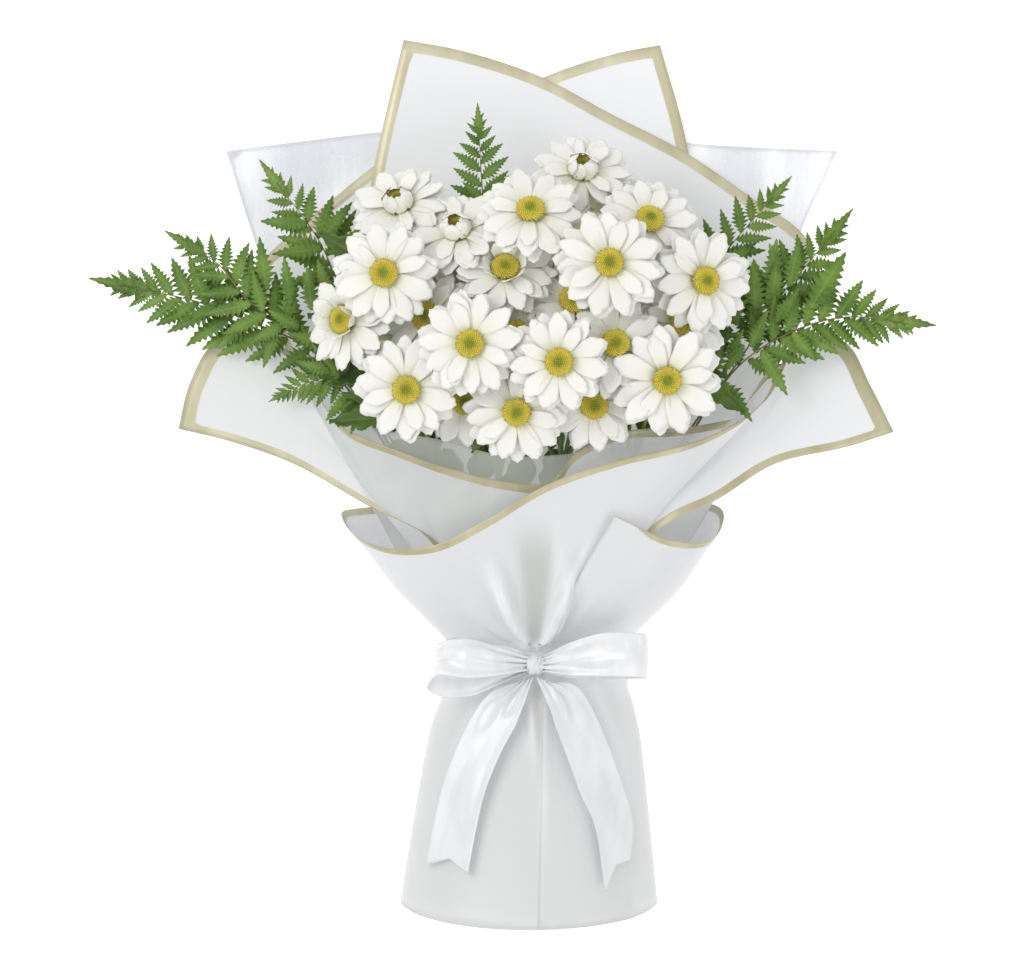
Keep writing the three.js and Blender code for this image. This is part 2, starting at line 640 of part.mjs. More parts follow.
// ---------------------------------------------------------------- fern fronds
// Each: the blade's spine from its base to its tip, the stipe from there down through the neck.
const FERNS = [
  {
    name: 'fern_left_main',
    blade: [[-114, 76, 70], [-146.2, 91.2, 72], [-182, 104.5, 68], [-242.5, 116.9, 58]],
    stipe: [[-80, 34, 53], [-46, -30, 44], [-20, -101, 40], [-23, -214]],
    pairs: 9,
    width: 27,
  },
  {
    name: 'fern_left_upper',
    blade: [[-128, 90, 78], [-150, 104, 79], [-168.4, 126, 76], [-199.8, 142.5, 68]],
    stipe: [[-86, 47, 65], [-47, -25, 50], [-19, -101, 47], [-18, -211]],
    pairs: 6,
    width: 19,
  },
  {
    name: 'fern_left_top',
    blade: [[-98, 112, 66], [-109.7, 138, 70], [-127.4, 163, 68], [-145.1, 184.7, 62]],
    stipe: [[-68, 50, 55], [-38, -20, 42], [-12, -101, 27], [-8, -212]],
    pairs: 7,
    width: 25,
  },
  {
    name: 'fern_left_low',
    blade: [[-96, 60, 84], [-118, 57, 84], [-139, 46.2, 78]],
    stipe: [[-66, 20, 68], [-44, -30, 56], [-16, -101, 52], [-13, -215]],
    pairs: 4,
    width: 17,
  },
  {
    name: 'fern_top',
    blade: [[-15, 150, 66], [-17.4, 173.9, 68], [-18.5, 195, 65], [-19.7, 217.7, 58]],
    stipe: [[-6, 80, 48], [4, 0, 33], [11, -101, 22], [12.5, -216]],
    pairs: 6,
    width: 16,
  },
  {
    name: 'fern_right_top',
    blade: [[112, 118, 66], [127.4, 139, 70], [140.5, 153.9, 69], [160, 176, 62]],
    stipe: [[84, 50, 55], [60, -20, 42], [42, -101, 28], [37, -211]],
    pairs: 6,
    width: 20,
  },
  {
    name: 'fern_right_upper',
    blade: [[135.4, 79, 74], [150, 103, 78], [170, 127, 76], [194.7, 157.3, 66]],
    stipe: [[96, 22, 50], [62, -35, 41], [46, -101, 37], [46, -210]],
    pairs: 8,
    width: 24,
  },
  {
    name: 'fern_right_main',
    blade: [[128, 66, 86], [155.9, 85, 86], [190, 95, 78], [242.5, 88.4, 62]],
    stipe: [[94, 14, 56], [60, -42, 47], [42, -101, 46], [41.5, -214]],
    pairs: 9,
    width: 22,
  },
];

function buildFern({ name, blade, stipe, pairs, width }) {
  const spine = blade.map(vec);
  const root = spine[0].clone().lerp(spine[1], 0.12);
  const lifts = [0, 3, 6, -3, 9, 12];
  const candidates = lifts.map((lift) => (room) => frondSolid({ spine, pairs, width, room, lift }));
  const leafy = firstClear(candidates, name);
  const stem = restingStem([root, ...stipe.slice(0, -1).map(vec)], stipe.at(-1), FROND.stipe, 4, 7, name);
  addPiece(name, joined([leafy, stem]), COLOUR.fern, 0.55);
}

// ---------------------------------------------------------------- blooms
// Centre of the disc, lean of its face away from straight up (as slopes in X and Y), and whether
// the disc shows enough to be a piece of its own.
const BLOOMS = [
  { centre: [-23.7, 79.2, 148], lean: [-0.05, 0.02], disc: true },
  { centre: [26.5, 69, 150], lean: [0, -0.04], disc: true },
  { centre: [2.6, 41, 130], lean: [0, -0.14], disc: true },
  { centre: [87.5, 58.7, 132], lean: [0.12, -0.06], disc: true },
  { centre: [-59.6, 53.6, 131], lean: [-0.1, -0.1], disc: true },
  { centre: [-72.1, 119.1, 133], lean: [-0.14, 0.06], disc: true },
  { centre: [55, 124.8, 146], lean: [0.04, 0.1], disc: true },
  { centre: [10.5, 153.9, 130], lean: [0, 0.6], disc: true },
  { centre: [58.4, 78.7, 131], lean: [0.08, 0.25], disc: true },
  { centre: [108.6, 115.1, 122], lean: [0.42, 0.02], disc: true },
  { centre: [-94.3, 92.9, 113], lean: [-0.75, 0.15], disc: true },
  { centre: [46.5, 45.5, 116], lean: [0.05, -0.2], disc: true },
  { centre: [77.8, 148.8, 116], lean: [0.2, 0.55], disc: true },
  { centre: [2, 84, 126], lean: [0, 0.3], disc: false },
  { centre: [-3.7, 121, 124], lean: [0, 0.6], disc: false },
  { centre: [34.5, 103.7, 121], lean: [0.1, 0.3], disc: false },
  { centre: [-31, 143.6, 112], lean: [-0.25, 0.8], disc: false },
  { centre: [-26.5, 48, 108], lean: [-0.1, -0.2], disc: false },
  { centre: [-48, 95, 114], lean: [-0.3, 0.1], disc: false },
  { centre: [96, 92, 108], lean: [0.3, 0.1], disc: false },
  { centre: [40.2, 178, 92], lean: [0.1, 0.8], disc: false },
  { centre: [-64.1, 159, 92], lean: [-0.3, 0.8], disc: false },
];

function bloomFrame({ centre, lean }, turn) {
  const facing = new THREE.Vector3(lean[0], lean[1], 1).normalize();
  const tilt = new THREE.Quaternion().setFromUnitVectors(UP, facing);
  const frame = new THREE.Matrix4().makeRotationFromQuaternion(tilt);
  frame.multiply(new THREE.Matrix4().makeRotationZ(turn));
  return frame.setPosition(vec(centre));
}

// The calyx and its seat for the disc, as it stands before the petals are set.
const CALYX_TOP = 1.85;
function calyxSolid(frame) {
  const profile = [[0, -BLOOM.calyxDepth], [4.6, -5.5], [5.8, -1], [6, 0.9], [0, CALYX_TOP]];
  const outline = profile.map(([r, z]) => new THREE.Vector2(r, z));
  return solidOf(new THREE.LatheGeometry(outline, 8).rotateX(Math.PI / 2).applyMatrix4(frame));
}

// The disc of florets: a dome with a dimple, its rings raised and lowered by turns.
function discSolid(frame) {
  const base = CALYX_TOP + GAP;
  const { discRadius, discHeight, discSides } = BLOOM;
  const profile = [
    [0, 0],
    [discRadius, 0],
    [discRadius, discHeight * 0.4],
    [discRadius * 0.8, discHeight * 0.85],
    [discRadius * 0.45, discHeight],
    [0, discHeight * 0.75],
  ];
  const outline = profile.map(([r, z]) => new THREE.Vector2(r, base + z));
  const dome = new THREE.LatheGeometry(outline, discSides).rotateX(Math.PI / 2);
  const position = dome.attributes.position;
  const rings = profile.length;
  for (let i = 0; i < position.count; i++) {
    const ring = i % rings;
    const spoke = Math.floor(i / rings) % discSides;
    if (ring < 2 || ring > 4) continue;
    const raised = (spoke + ring) % 2 === 0 ? 0.45 : -0.45;
    position.setZ(i, position.getZ(i) + raised);
  }
  return solidOf(dome.applyMatrix4(frame));
}

// A petal along X: three-cornered in section, flat above and keeled below, ending in a point.
const PETAL_STATIONS = [
  { at: 0, half: 0.27, keel: 1.5 },
  { at: 0.42, half: 0.8, keel: 1.3 },
  { at: 0.8, half: 1, keel: 1.1 },
];

// The petal's points: left edge, right edge and keel at each station, then the tip.
function petalPoints({ reach, pitch, curl, height, turn }, room = 0) {
  const length = BLOOM.radius * reach - BLOOM.rootRadius + room;
  const steps = 12;
  const spine = [new THREE.Vector3(BLOOM.rootRadius, 0, height)];
  const angleAt = (s) => rad(pitch + curl * s);
  for (let i = 0; i < steps; i++) {
    const angle = angleAt((i + 0.5) / steps);
    const step = new THREE.Vector3(Math.cos(angle), 0, Math.sin(angle)).multiplyScalar(length / steps);
    spine.push(spine[i].clone().add(step));
  }
  const pointAt = (s) => {
    const k = Math.min(Math.floor(s * steps), steps - 1);
    return spine[k].clone().lerp(spine[k + 1], s * steps - k);
  };
  const points = PETAL_STATIONS.flatMap(({ at, half, keel }) => {
    const middle = pointAt(at);
    const normal = new THREE.Vector3(-Math.sin(angleAt(at)), 0, Math.cos(angleAt(at)));
    const halfWidth = (BLOOM.petalWidth / 2) * half + room;
    const edge = middle.clone().addScaledVector(normal, 0.4 + room);
    const bottom = middle.clone().addScaledVector(normal, -keel - room);
    return [edge.clone().setY(halfWidth), edge.clone().setY(-halfWidth), bottom];
  });
  points.push(pointAt(1));
  const about = new THREE.Vector3(0, 0, 1);
  return points.map((p) => p.applyAxisAngle(about, turn));
}

// One petal by itself, for finding its way past the neighbours.
function petalSolid(frame, form, room) {
  const points = petalPoints(form, room);
  const index = [0, 1, 2];
  for (let i = 0; i + 1 < PETAL_STATIONS.length; i++) {
    for (const [a, b] of [[0, 2], [2, 1], [1, 0]]) {
      const [p, q, r, t] = [3 * i + a, 3 * i + b, 3 * i + 3 + b, 3 * i + 3 + a];
      index.push(p, q, r, p, r, t);
    }
  }
  const last = 3 * (PETAL_STATIONS.length - 1);
  const tip = points.length - 1;
  index.push(last, last + 2, tip, last + 2, last + 1, tip, last + 1, last, tip);
  return solidOf(indexedGeometry(points, index).applyMatrix4(frame));
}

function indexedGeometry(points, index) {
  const geometry = new THREE.BufferGeometry();
  geometry.setAttribute('position', new THREE.Float32BufferAttribute(points.flatMap((p) => p.toArray()), 3));
  geometry.setIndex(index);
  return geometry;
}

// Bends tried in turn where a petal meets a neighbour: up, then down, then shorter.
const BENDS = [0, 9, -9, 18, -18, 28, -28, 40, -40, -52];
const SHORTER = [1, 0.82, 0.66];

// The form of each petal of a bloom, in two rows, or null where there is no room for it.
function petalForms(bloom, name, draw) {
  const placed = [];
  return PETAL_ROWS.map((row, level) =>
    Array.from({ length: BLOOM.petalsInRow }, (_, i) => {
      const turn = (2 * Math.PI * (i + level / 2)) / BLOOM.petalsInRow + (draw() - 0.5) * 0.06;
      const pitch = row.pitch + (draw() - 0.5) * 8;
      for (const share of SHORTER) {
        for (const bend of BENDS) {
          const form = { ...row, turn, pitch: pitch + bend, reach: row.reach * share };
          const solid = petalSolid(bloom.frame, form, 0);
          if (!isClear(solid, placed)) continue;
          if (!clearOf(petalSolid(bloom.frame, form, GAP), name)) continue;
          placed.push(obstacle(solid));
          return form;
        }
      }
      return null;
    }),
  );
}

// The whole bloom as one skin: seat, first row, second row, calyx. Each row starts from a ring of
// valleys above its petals' roots and ends in a ring below them.
const RINGS = {
  seat: [{ r: 6, z: 0.9 }, { r: 5.8, z: -1 }],
  second: [{ r: 5.8, z: -1.7 }, { r: 5.4, z: -3.8 }],
  calyx: { r: 4.4, z: -5.6 },
  domeLow: { r: 7.8, z: 2.4 },
  domeHigh: { r: 5.2, z: 5.3 },
};

function bloomSolid(bloom, forms) {
  const count = BLOOM.petalsInRow;
  const points = [];
  const index = [];
  const add = (x, y, z) => points.push(new THREE.Vector3(x, y, z)) - 1;
  const ring = ({ r, z }, halfStep) =>
    Array.from({ length: count }, (_, i) => {
      const angle = (2 * Math.PI * (i + halfStep)) / count;
      return add(r * Math.cos(angle), r * Math.sin(angle), z);
    });
  const next = (i) => (i + 1) % count;
  const fan = (apex, around, upward) =>
    around.forEach((a, i) => {
      const b = around[next(i)];
      index.push(...(upward ? [apex, a, b] : [apex, b, a]));
    });
  const belt = (upper, lower) =>
    upper.forEach((a, i) => {
      index.push(a, lower[i], lower[next(i)], a, lower[next(i)], upper[next(i)]);
    });
  // Petal i of a row stands between valleys i and i + 1, which lie half a step to either side.
  const row = (above, below, rowForms) =>
    rowForms.forEach((form, i) => {
      const [a, b, c, d] = [above[i], above[next(i)], below[i], below[next(i)]];
      if (!form) {
        index.push(a, c, d, a, d, b);
        return;
      }
      const petal = petalPoints(form).slice(3).map((p) => add(...p));
      const [midLeft, midRight, midKeel, left, right, keel, tip] = petal;
      index.push(a, midRight, midLeft, a, midLeft, b, midRight, right, left, midRight, left, midLeft);
      index.push(right, tip, left, c, d, midKeel, c, midKeel, midRight, midRight, midKeel, keel);
      index.push(midRight, keel, right, right, keel, tip, d, midLeft, midKeel, midLeft, keel, midKeel);
      index.push(midLeft, left, keel, left, tip, keel, a, c, midRight, b, midLeft, d);
    });
  const seatTop = ring(RINGS.seat[0], -0.5);
  const seatLow = ring(RINGS.seat[1], -0.5);
  const secondTop = ring(RINGS.second[0], 0);
  const secondLow = ring(RINGS.second[1], 0);
  const calyx = ring(RINGS.calyx, 0);
  if (bloom.disc) {
    fan(add(0, 0, CALYX_TOP), seatTop, true);
  } else {
    const low = ring(RINGS.domeLow, -0.5);
    const high = ring(RINGS.domeHigh, -0.5);
    fan(add(0, 0, 5.7), high, true);
    belt(high, low);
    belt(low, seatTop);
  }
  row(seatTop, seatLow, forms[0]);
  belt(seatLow, secondTop);
  row(secondTop, secondLow, forms[1]);
  belt(secondLow, calyx);
  fan(add(0, 0, -BLOOM.calyxDepth), calyx, false);
  return solidOf(indexedGeometry(points, index).applyMatrix4(bloom.frame));
}

// ---------------------------------------------------------------- sprays
// Each spray's main stem rises from its cut end in the skirt through the neck to its fork, and a
// pedicel runs from there to each of its blooms. Leaves: base, tip, width.
const SPRAYS = [
  {
    name: 'spray_left',
    stem: [[-1, STEM.cutEnd + 4], [-6, -101, 38], [-28, -40, 56], [-44, 10, 72]],
    blooms: [4, 5, 10, 18, 21],
    leaves: [
      [[-70, 38, 96], [-100, 36, 96], 13],
      [[-92, 68, 88], [-121, 68, 84], 14],
      [[-84, 128, 82], [-108, 142, 80], 12],
    ],
  },
  {
    name: 'spray_middle_left',
    stem: [[6, STEM.cutEnd], [6, -101, 44], [-4, -40, 62], [-8, 10, 76]],
    blooms: [0, 2, 14, 16, 17],
    leaves: [
      [[-16, 34, 96], [-22, 14, 99], 9],
      [[-2, 168, 74], [-30, 186, 72], 12],
    ],
  },
  {
    name: 'spray_middle_right',
    stem: [[20, STEM.cutEnd + 2], [21, -101, 40], [24, -40, 60], [28, 10, 76]],
    blooms: [1, 11, 8, 13, 15, 6],
    leaves: [
      [[24, 48, 96], [28, 20, 100], 9],
      [[62, 40, 98], [66, 18, 101], 9],
    ],
  },
  {
    name: 'spray_right',
    stem: [[29, STEM.cutEnd + 5], [34, -101, 37], [52, -40, 54], [67, 8, 66]],
    blooms: [3, 9, 12, 19, 20, 7],
    leaves: [
      [[104, 64, 92], [132, 38, 96], 13],
      [[112, 92, 86], [134, 104, 88], 12],
      [[92, 146, 80], [112, 166, 78], 12],
    ],
  },
];

// A daisy's own lobed leaf, and the heights at which it is tried.
const LEAF = { pairs: 3, lobe: LEAF_LOBE, sweep: 48, fullest: 0.45, droop: 0.1 };
const LEAF_LIFTS = [0, -4, 4, -8, 8];

const bloomName = (index) => `bloom_${String(index + 1).padStart(2, '0')}`;

function pedicelCandidates(from, direction, end, arrival, radius, draw) {
  return Array.from({ length: 60 }, (_, i) => {
    const spreadOut = i * 0.8;
    const jitter = new THREE.Vector3(draw() - 0.5, draw() - 0.5, draw() - 0.5).multiplyScalar(spreadOut);
    const start = from(draw());
    const length = start.distanceTo(end);
    const near = start.clone().addScaledVector(direction, length * 0.35).add(jitter);
    const far = end.clone().addScaledVector(arrival, -length * 0.3).addScaledVector(jitter, 0.5);
    const curve = new THREE.CubicBezierCurve3(start, near, far, end);
    const shorter = new THREE.CubicBezierCurve3(start, near, far, end.clone().addScaledVector(arrival, -0.5));
    return (room) => tubeSolid(room ? shorter : curve, radius + room, 4, 3);
  });
}

function buildSpray({ name, stem, blooms, leaves }) {
  const draw = seededDraw(11 + blooms[0]);
  const upper = stem.slice(1).reverse().map(vec);
  const solids = [hold(restingStem(upper, stem[0], STEM.main, 6, 5, name), name)];
  const visible = stemCurve(upper, stem[0], INSET.backLeft + STEM.main);
  const fork = (share) => visible.getPointAt(lerp(0.18, 0.01, share));
  const direction = visible.getTangentAt(0).negate();
  blooms.forEach((index) => {
    const bloom = BLOOMS[index];
    const arrival = new THREE.Vector3(0, 0, 1).transformDirection(bloom.frame);
    const end = new THREE.Vector3(0, 0, -BLOOM.calyxDepth - GAP).applyMatrix4(bloom.frame);
    const candidates = pedicelCandidates(fork, direction, end, arrival, STEM.pedicel, draw);
    const pedicel = firstClear(candidates, name);
    solids.push(hold(pedicel, name));
  });
  leaves.forEach(([base, tip, width]) => {
    const ends = [vec(base), vec(tip)];
    const middle = ends[0].clone().lerp(ends[1], 0.5).add(new THREE.Vector3(0, 0, 2));
    const spine = [ends[0], middle, ends[1]];
    const candidates = LEAF_LIFTS.map((lift) => (room) => frondSolid({ ...LEAF, spine, width, room, lift }));
    const leaf = firstClear(candidates, name);
    const box = leaf.boundingBox();
    const root = ends[0].clone().lerp(ends[1], 0.08);
    root.z = THREE.MathUtils.clamp(root.z, box.min[2] + 0.8, box.max[2] - 0.8);
    const arrival = ends[1].clone().sub(ends[0]).normalize();
    const stalks = pedicelCandidates(fork, direction, root, arrival, STEM.leafStalk, draw);
    solids.push(hold(leaf, name), hold(firstClear(stalks, name), name));
  });
  return solids;
}

function buildFlowers() {
  const draw = seededDraw(5);
  BLOOMS.forEach((bloom, index) => {
    const name = bloomName(index);
    bloom.frame = bloomFrame(bloom, draw() * Math.PI);
    hold(calyxSolid(bloom.frame), name);
    if (bloom.disc) bloom.florets = hold(discSolid(bloom.frame), `${name}_disc`);
  });
  FERNS.forEach(buildFern);
  const green = SPRAYS.map((spray) => ({ name: spray.name, solids: buildSpray(spray) }));
  green.forEach(({ name, solids }) => addPiece(name, joined(solids), COLOUR.stem));
  BLOOMS.forEach((bloom, index) => {
    const name = bloomName(index);
    const forms = petalForms(bloom, name, draw);
    addPiece(`${name}_petals`, bloomSolid(bloom, forms), COLOUR.petal);
    if (bloom.florets) addPiece(`${name}_disc`, bloom.florets, COLOUR.disc, 0.8);
  });
}

buildWrap();
buildRibbon();
buildFlowers();

export default group;
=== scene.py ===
# %% [markdown]
# # A wrapped bunch of daisies
# The bunch lies on its back, and the camera looks straight down on it. Its solids were built first:
# they fix where each flower, frond and sheet of film is. This script gives each of them its real
# surface: fine petals, toothed leaflets, thin film with a gold border and satin ribbon.

# %% Open the frame
import math
import random

import bmesh
import bpy
import numpy as np
from mathutils import Matrix, Vector, noise
from mathutils.bvhtree import BVHTree


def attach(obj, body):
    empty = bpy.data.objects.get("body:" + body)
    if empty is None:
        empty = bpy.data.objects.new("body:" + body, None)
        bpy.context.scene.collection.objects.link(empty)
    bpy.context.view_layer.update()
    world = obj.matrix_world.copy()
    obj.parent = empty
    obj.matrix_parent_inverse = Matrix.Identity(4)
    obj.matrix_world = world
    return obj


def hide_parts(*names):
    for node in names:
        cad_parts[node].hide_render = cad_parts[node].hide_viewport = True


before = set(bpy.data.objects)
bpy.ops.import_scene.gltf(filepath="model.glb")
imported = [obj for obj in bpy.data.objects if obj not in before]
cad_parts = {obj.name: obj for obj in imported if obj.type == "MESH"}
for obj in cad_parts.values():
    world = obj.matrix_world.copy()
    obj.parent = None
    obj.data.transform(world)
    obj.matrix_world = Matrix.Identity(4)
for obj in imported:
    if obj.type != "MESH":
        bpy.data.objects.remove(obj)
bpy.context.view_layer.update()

MM = 0.001
UP = Vector((0, 0, 1))


# %% Objects and meshes
def in_scene(name, data):
    """An object that holds the given data, linked to the scene."""
    thing = bpy.data.objects.new(name, data)
    bpy.context.scene.collection.objects.link(thing)
    return thing


def to_mesh(bm, name):
    """Writes a bmesh to a new mesh and frees it."""
    mesh = bpy.data.meshes.new(name)
    bm.to_mesh(mesh)
    bm.free()
    return mesh


# %% [markdown]
# ## Camera and light
# A product photograph of a bunch is taken from a few metres with a long lens, so that near and far
# blooms have the same scale. Here the camera hangs above the bunch. The light is a pale room with two
# large soft lamps: one from the upper left models the petals without hard shadows, and a weaker one
# from the lower right opens the shadows.

# %% Camera
PHOTO_WIDTH_PIXELS = 1024
PIXEL = 0.57 * MM  # what one pixel of the photograph covers at the height of the flowers
FLOWER_HEIGHT = 80 * MM
CAMERA_HEIGHT = 8.0
SENSOR_WIDTH = 36

camera_data = bpy.data.cameras.new("camera")
camera = in_scene("camera", camera_data)
bpy.context.scene.camera = camera
camera.location = (0, 1 * MM, CAMERA_HEIGHT)
camera_data.sensor_width = SENSOR_WIDTH
camera_data.lens = SENSOR_WIDTH * (CAMERA_HEIGHT - FLOWER_HEIGHT) / (PHOTO_WIDTH_PIXELS * PIXEL)
print("lens", round(camera_data.lens), "mm")


# %% Light
def lamp(name, place, size, power):
    """A square soft lamp that faces the middle of the bunch."""
    data = bpy.data.lights.new(name, "AREA")
    data.size = size
    data.energy = power
    light = in_scene(name, data)
    light.location = place
    light.rotation_euler = (-Vector(place)).to_track_quat("-Z", "Y").to_euler()


lamp("key", (-1.3, 0.7, 2.1), 1.4, 23)
lamp("fill", (1.4, -1.3, 1.9), 1.8, 17)

world = bpy.data.worlds.new("room")
bpy.context.scene.world = world
world.use_nodes = True
room = world.node_tree.nodes["Background"]
room.inputs["Color"].default_value = (1, 1, 1, 1)
room.inputs["Strength"].default_value = 0.70
bpy.context.scene.view_settings.view_transform = "Standard"

# %% [markdown]
# ## Tools for materials
# Each material is a Principled shader. What is the same all over is set on its own socket, and what
# changes over the surface comes from a few nodes.

# %% Material helpers
def new_material(name, **sockets):
    """A Principled material; a socket's name is written with underscores for its spaces."""
    material = bpy.data.materials.new(name)
    material.use_nodes = True
    shader = material.node_tree.nodes["Principled BSDF"]
    for socket, value in sockets.items():
        shader.inputs[socket.replace("_", " ")].default_value = value
    return material


def add_node(material, kind, inputs=None, **settings):
    """A node with its settings, and its sockets set to values or linked to other sockets."""
    node = material.node_tree.nodes.new(kind)
    for setting, value in settings.items():
        setattr(node, setting, value)
    for socket, value in (inputs or {}).items():
        if isinstance(value, bpy.types.NodeSocket):
            material.node_tree.links.new(value, node.inputs[socket])
        else:
            node.inputs[socket].default_value = value
    return node


def plug(material, output, socket):
    """Links a node's output to a socket of the Principled shader."""
    shader = material.node_tree.nodes["Principled BSDF"]
    material.node_tree.links.new(output, shader.inputs[socket])


def ramp(material, value, stops):
    """Colours along a value, given as (position, colour)."""
    node = add_node(material, "ShaderNodeValToRGB", {"Fac": value})
    elements = node.color_ramp.elements
    while len(elements) < len(stops):
        elements.new(0.5)
    for element, (position, colour) in zip(elements, stops):
        element.position = position
        element.color = (*colour, 1)
    return node.outputs["Color"]


def fine_noise(material, scale, stretch=(1, 1, 1), detail=3.0, source="Object"):
    """Noise at so many cells a metre, stretched along its axes."""
    place = add_node(material, "ShaderNodeTexCoord").outputs[source]
    mapping = add_node(material, "ShaderNodeMapping", {"Vector": place, "Scale": stretch})
    inputs = {"Vector": mapping.outputs["Vector"], "Scale": scale, "Detail": detail}
    return add_node(material, "ShaderNodeTexNoise", inputs).outputs["Fac"]


def carried(material, name):
    """A number that the points of a mesh carry under a name."""
    return add_node(material, "ShaderNodeAttribute", attribute_name=name).outputs["Fac"]


def uv_part(material, axis):
    """X or Y of a mesh's UV: across or along a petal, leaf or disc."""
    uv = add_node(material, "ShaderNodeTexCoord").outputs["UV"]
    return add_node(material, "ShaderNodeSeparateXYZ", {"Vector": uv}).outputs[axis]


def remap(material, value, start, end, first, last):
    """Takes start..end to first..last, and holds the value at both ends."""
    inputs = {"Value": value, "From Min": start, "From Max": end, "To Min": first, "To Max": last}
    return add_node(material, "ShaderNodeMapRange", inputs).outputs["Result"]


def bump(material, height, depth, strength):
    """Fine relief, of a depth in metres where the height is 1."""
    inputs = {"Height": height, "Distance": depth, "Strength": strength}
    plug(material, add_node(material, "ShaderNodeBump", inputs).outputs["Normal"], "Normal")


def blend_colours(material, share, first, second):
    """The first colour where the share is 0 and the second where it is 1."""
    node = add_node(material, "ShaderNodeMix", {"Factor": share}, data_type="RGBA")
    for index, colour in ((6, first), (7, second)):
        if isinstance(colour, bpy.types.NodeSocket):
            material.node_tree.links.new(colour, node.inputs[index])
        else:
            node.inputs[index].default_value = (*colour, 1)
    return node.outputs[2]


# %% The floor is only there to lie on
floor_material = new_material(
    "floor",
    Base_Color=(0.9, 0.9, 0.9, 1),
    Roughness=0.9,
    Emission_Color=(1, 1, 1, 1),
    Emission_Strength=0.35,
)
floor_bm = bmesh.new()
bmesh.ops.create_grid(floor_bm, x_segments=1, y_segments=1, size=6)
floor = in_scene("floor", to_mesh(floor_bm, "floor"))
floor.data.materials.append(floor_material)
floor.location = (0, 0, -0.5 * MM)

# %% [markdown]
# ## Tools for shapes
# Leaves, petals, film and ribbon are all thin sheets. Each starts as a flat grid whose points are
# then moved to their places, which keeps the faces square and gives smooth shading. A smooth curve
# through a few given points carries everything that bends.


# %% Curves
def through(points, per_span=12):
    """A smooth line through the points, with so many steps between each two."""
    p = np.array(points, float)
    p = np.vstack([2 * p[0] - p[1], p, 2 * p[-1] - p[-2]])
    line = []
    for a, b, c, d in zip(p, p[1:], p[2:], p[3:]):
        steps = [max(np.linalg.norm(v) ** 0.5, 1e-4) for v in (b - a, c - b, d - c)]
        k0, k1, k2, k3 = np.concatenate([[0], np.cumsum(steps)])
        for t in np.linspace(k1, k2, per_span, endpoint=False):
            ab = a + (b - a) * (t - k0) / (k1 - k0)
            bc = b + (c - b) * (t - k1) / (k2 - k1)
            cd = c + (d - c) * (t - k2) / (k3 - k2)
            abc = ab + (bc - ab) * (t - k0) / (k2 - k0)
            bcd = bc + (cd - bc) * (t - k1) / (k3 - k1)
            line.append(abc + (bcd - abc) * (t - k1) / (k2 - k1))
    line.append(p[-2])
    return np.array(line)


def evenly(line, shares):
    """Points at the given shares of a line's length."""
    run = np.concatenate([[0], np.cumsum(np.linalg.norm(np.diff(line, axis=0), axis=1))])
    at = np.array(shares) * run[-1]
    return np.column_stack([np.interp(at, run, line[:, i]) for i in range(3)])


def travel(line, up=UP):
    """A matrix for each point of a line: Y runs along it, Z is as near to up as it can be."""
    frames = []
    for i, point in enumerate(line):
        before, after = line[max(i - 1, 0)], line[min(i + 1, len(line) - 1)]
        along = Vector(after - before).normalized()
        side = along.cross(up).normalized()
        lift = side.cross(along)
        frames.append(Matrix.Translation(Vector(point)) @ Matrix((side, along, lift)).transposed().to_4x4())
    return frames


# %% Meshes
def grid_mesh(name, across, along, place, thickness=None):
    """A grid whose point at (u, t), u from -1 to 1 across and t from 0 to 1 along, goes to place."""
    bm = bmesh.new()
    bm.loops.layers.uv.new("UVMap")
    bmesh.ops.create_grid(bm, x_segments=across, y_segments=along, size=1, calc_uvs=True)
    for v in bm.verts:
        v.co = place(v.co.x, (v.co.y + 1) / 2)
    if thickness:
        bmesh.ops.solidify(bm, geom=bm.faces[:], thickness=thickness)
    return to_mesh(bm, name)


def stamp(bm, mesh, matrix):
    """Adds a copy of a mesh, set in place by a matrix."""
    copy = mesh.copy()
    copy.transform(matrix)
    bm.from_mesh(copy)
    bpy.data.meshes.remove(copy)


def tube(bm, line, radii, sides=6):
    """A closed stem: a ring drawn along a line, its radius changing from end to end."""
    frames = travel(line)
    radii = np.interp(np.linspace(0, 1, len(line)), np.linspace(0, 1, len(radii)), radii)
    upright = Matrix.Rotation(-math.pi / 2, 4, "X")
    cap = bmesh.ops.create_circle(bm, segments=sides, radius=radii[0], cap_ends=True)
    ring = cap["verts"]
    bmesh.ops.transform(bm, verts=ring, matrix=frames[0] @ upright)
    face = ring[0].link_faces[0]
    for i in range(1, len(frames)):
        grown = bmesh.ops.extrude_face_region(bm, geom=[face])
        top = [g for g in grown["geom"] if isinstance(g, bmesh.types.BMVert)]
        new_face = [g for g in grown["geom"] if isinstance(g, bmesh.types.BMFace)][0]
        if i > 1:
            bmesh.ops.delete(bm, geom=[face], context="FACES_ONLY")
        size = Matrix.Scale(radii[i] / radii[i - 1], 4)
        bmesh.ops.transform(bm, verts=top, matrix=frames[i] @ size @ frames[i - 1].inverted())
        face = new_face


def finished(shape, name, material, nodes):
    """Makes a piece of the bunch from a mesh or bmesh, and hides the solids it stands for."""
    mesh = to_mesh(shape, name) if isinstance(shape, bmesh.types.BMesh) else shape
    mesh.shade_smooth()
    mesh.materials.clear()
    mesh.materials.append(material)
    piece = in_scene(name, mesh)
    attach(piece, "root")
    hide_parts(*nodes)
    return piece


def thicken(piece, thickness, offset):
    """Gives a sheet its thickness in mm: offset 0 is to both sides, and -1 is behind its face."""
    wall = piece.modifiers.new("wall", "SOLIDIFY")
    wall.thickness = thickness * MM
    wall.offset = offset


# %% [markdown]
# ## Film
# Five sheets of frosted film and one of clear film are wound into a cone round the stems and tied at
# the neck. Below the tie they flare into a skirt. Each sheet is described by a few columns, which run
# from its free edge down to the neck, and the grid between them is smooth in both directions. The
# numbers are the same as those of the solids, in millimetres.

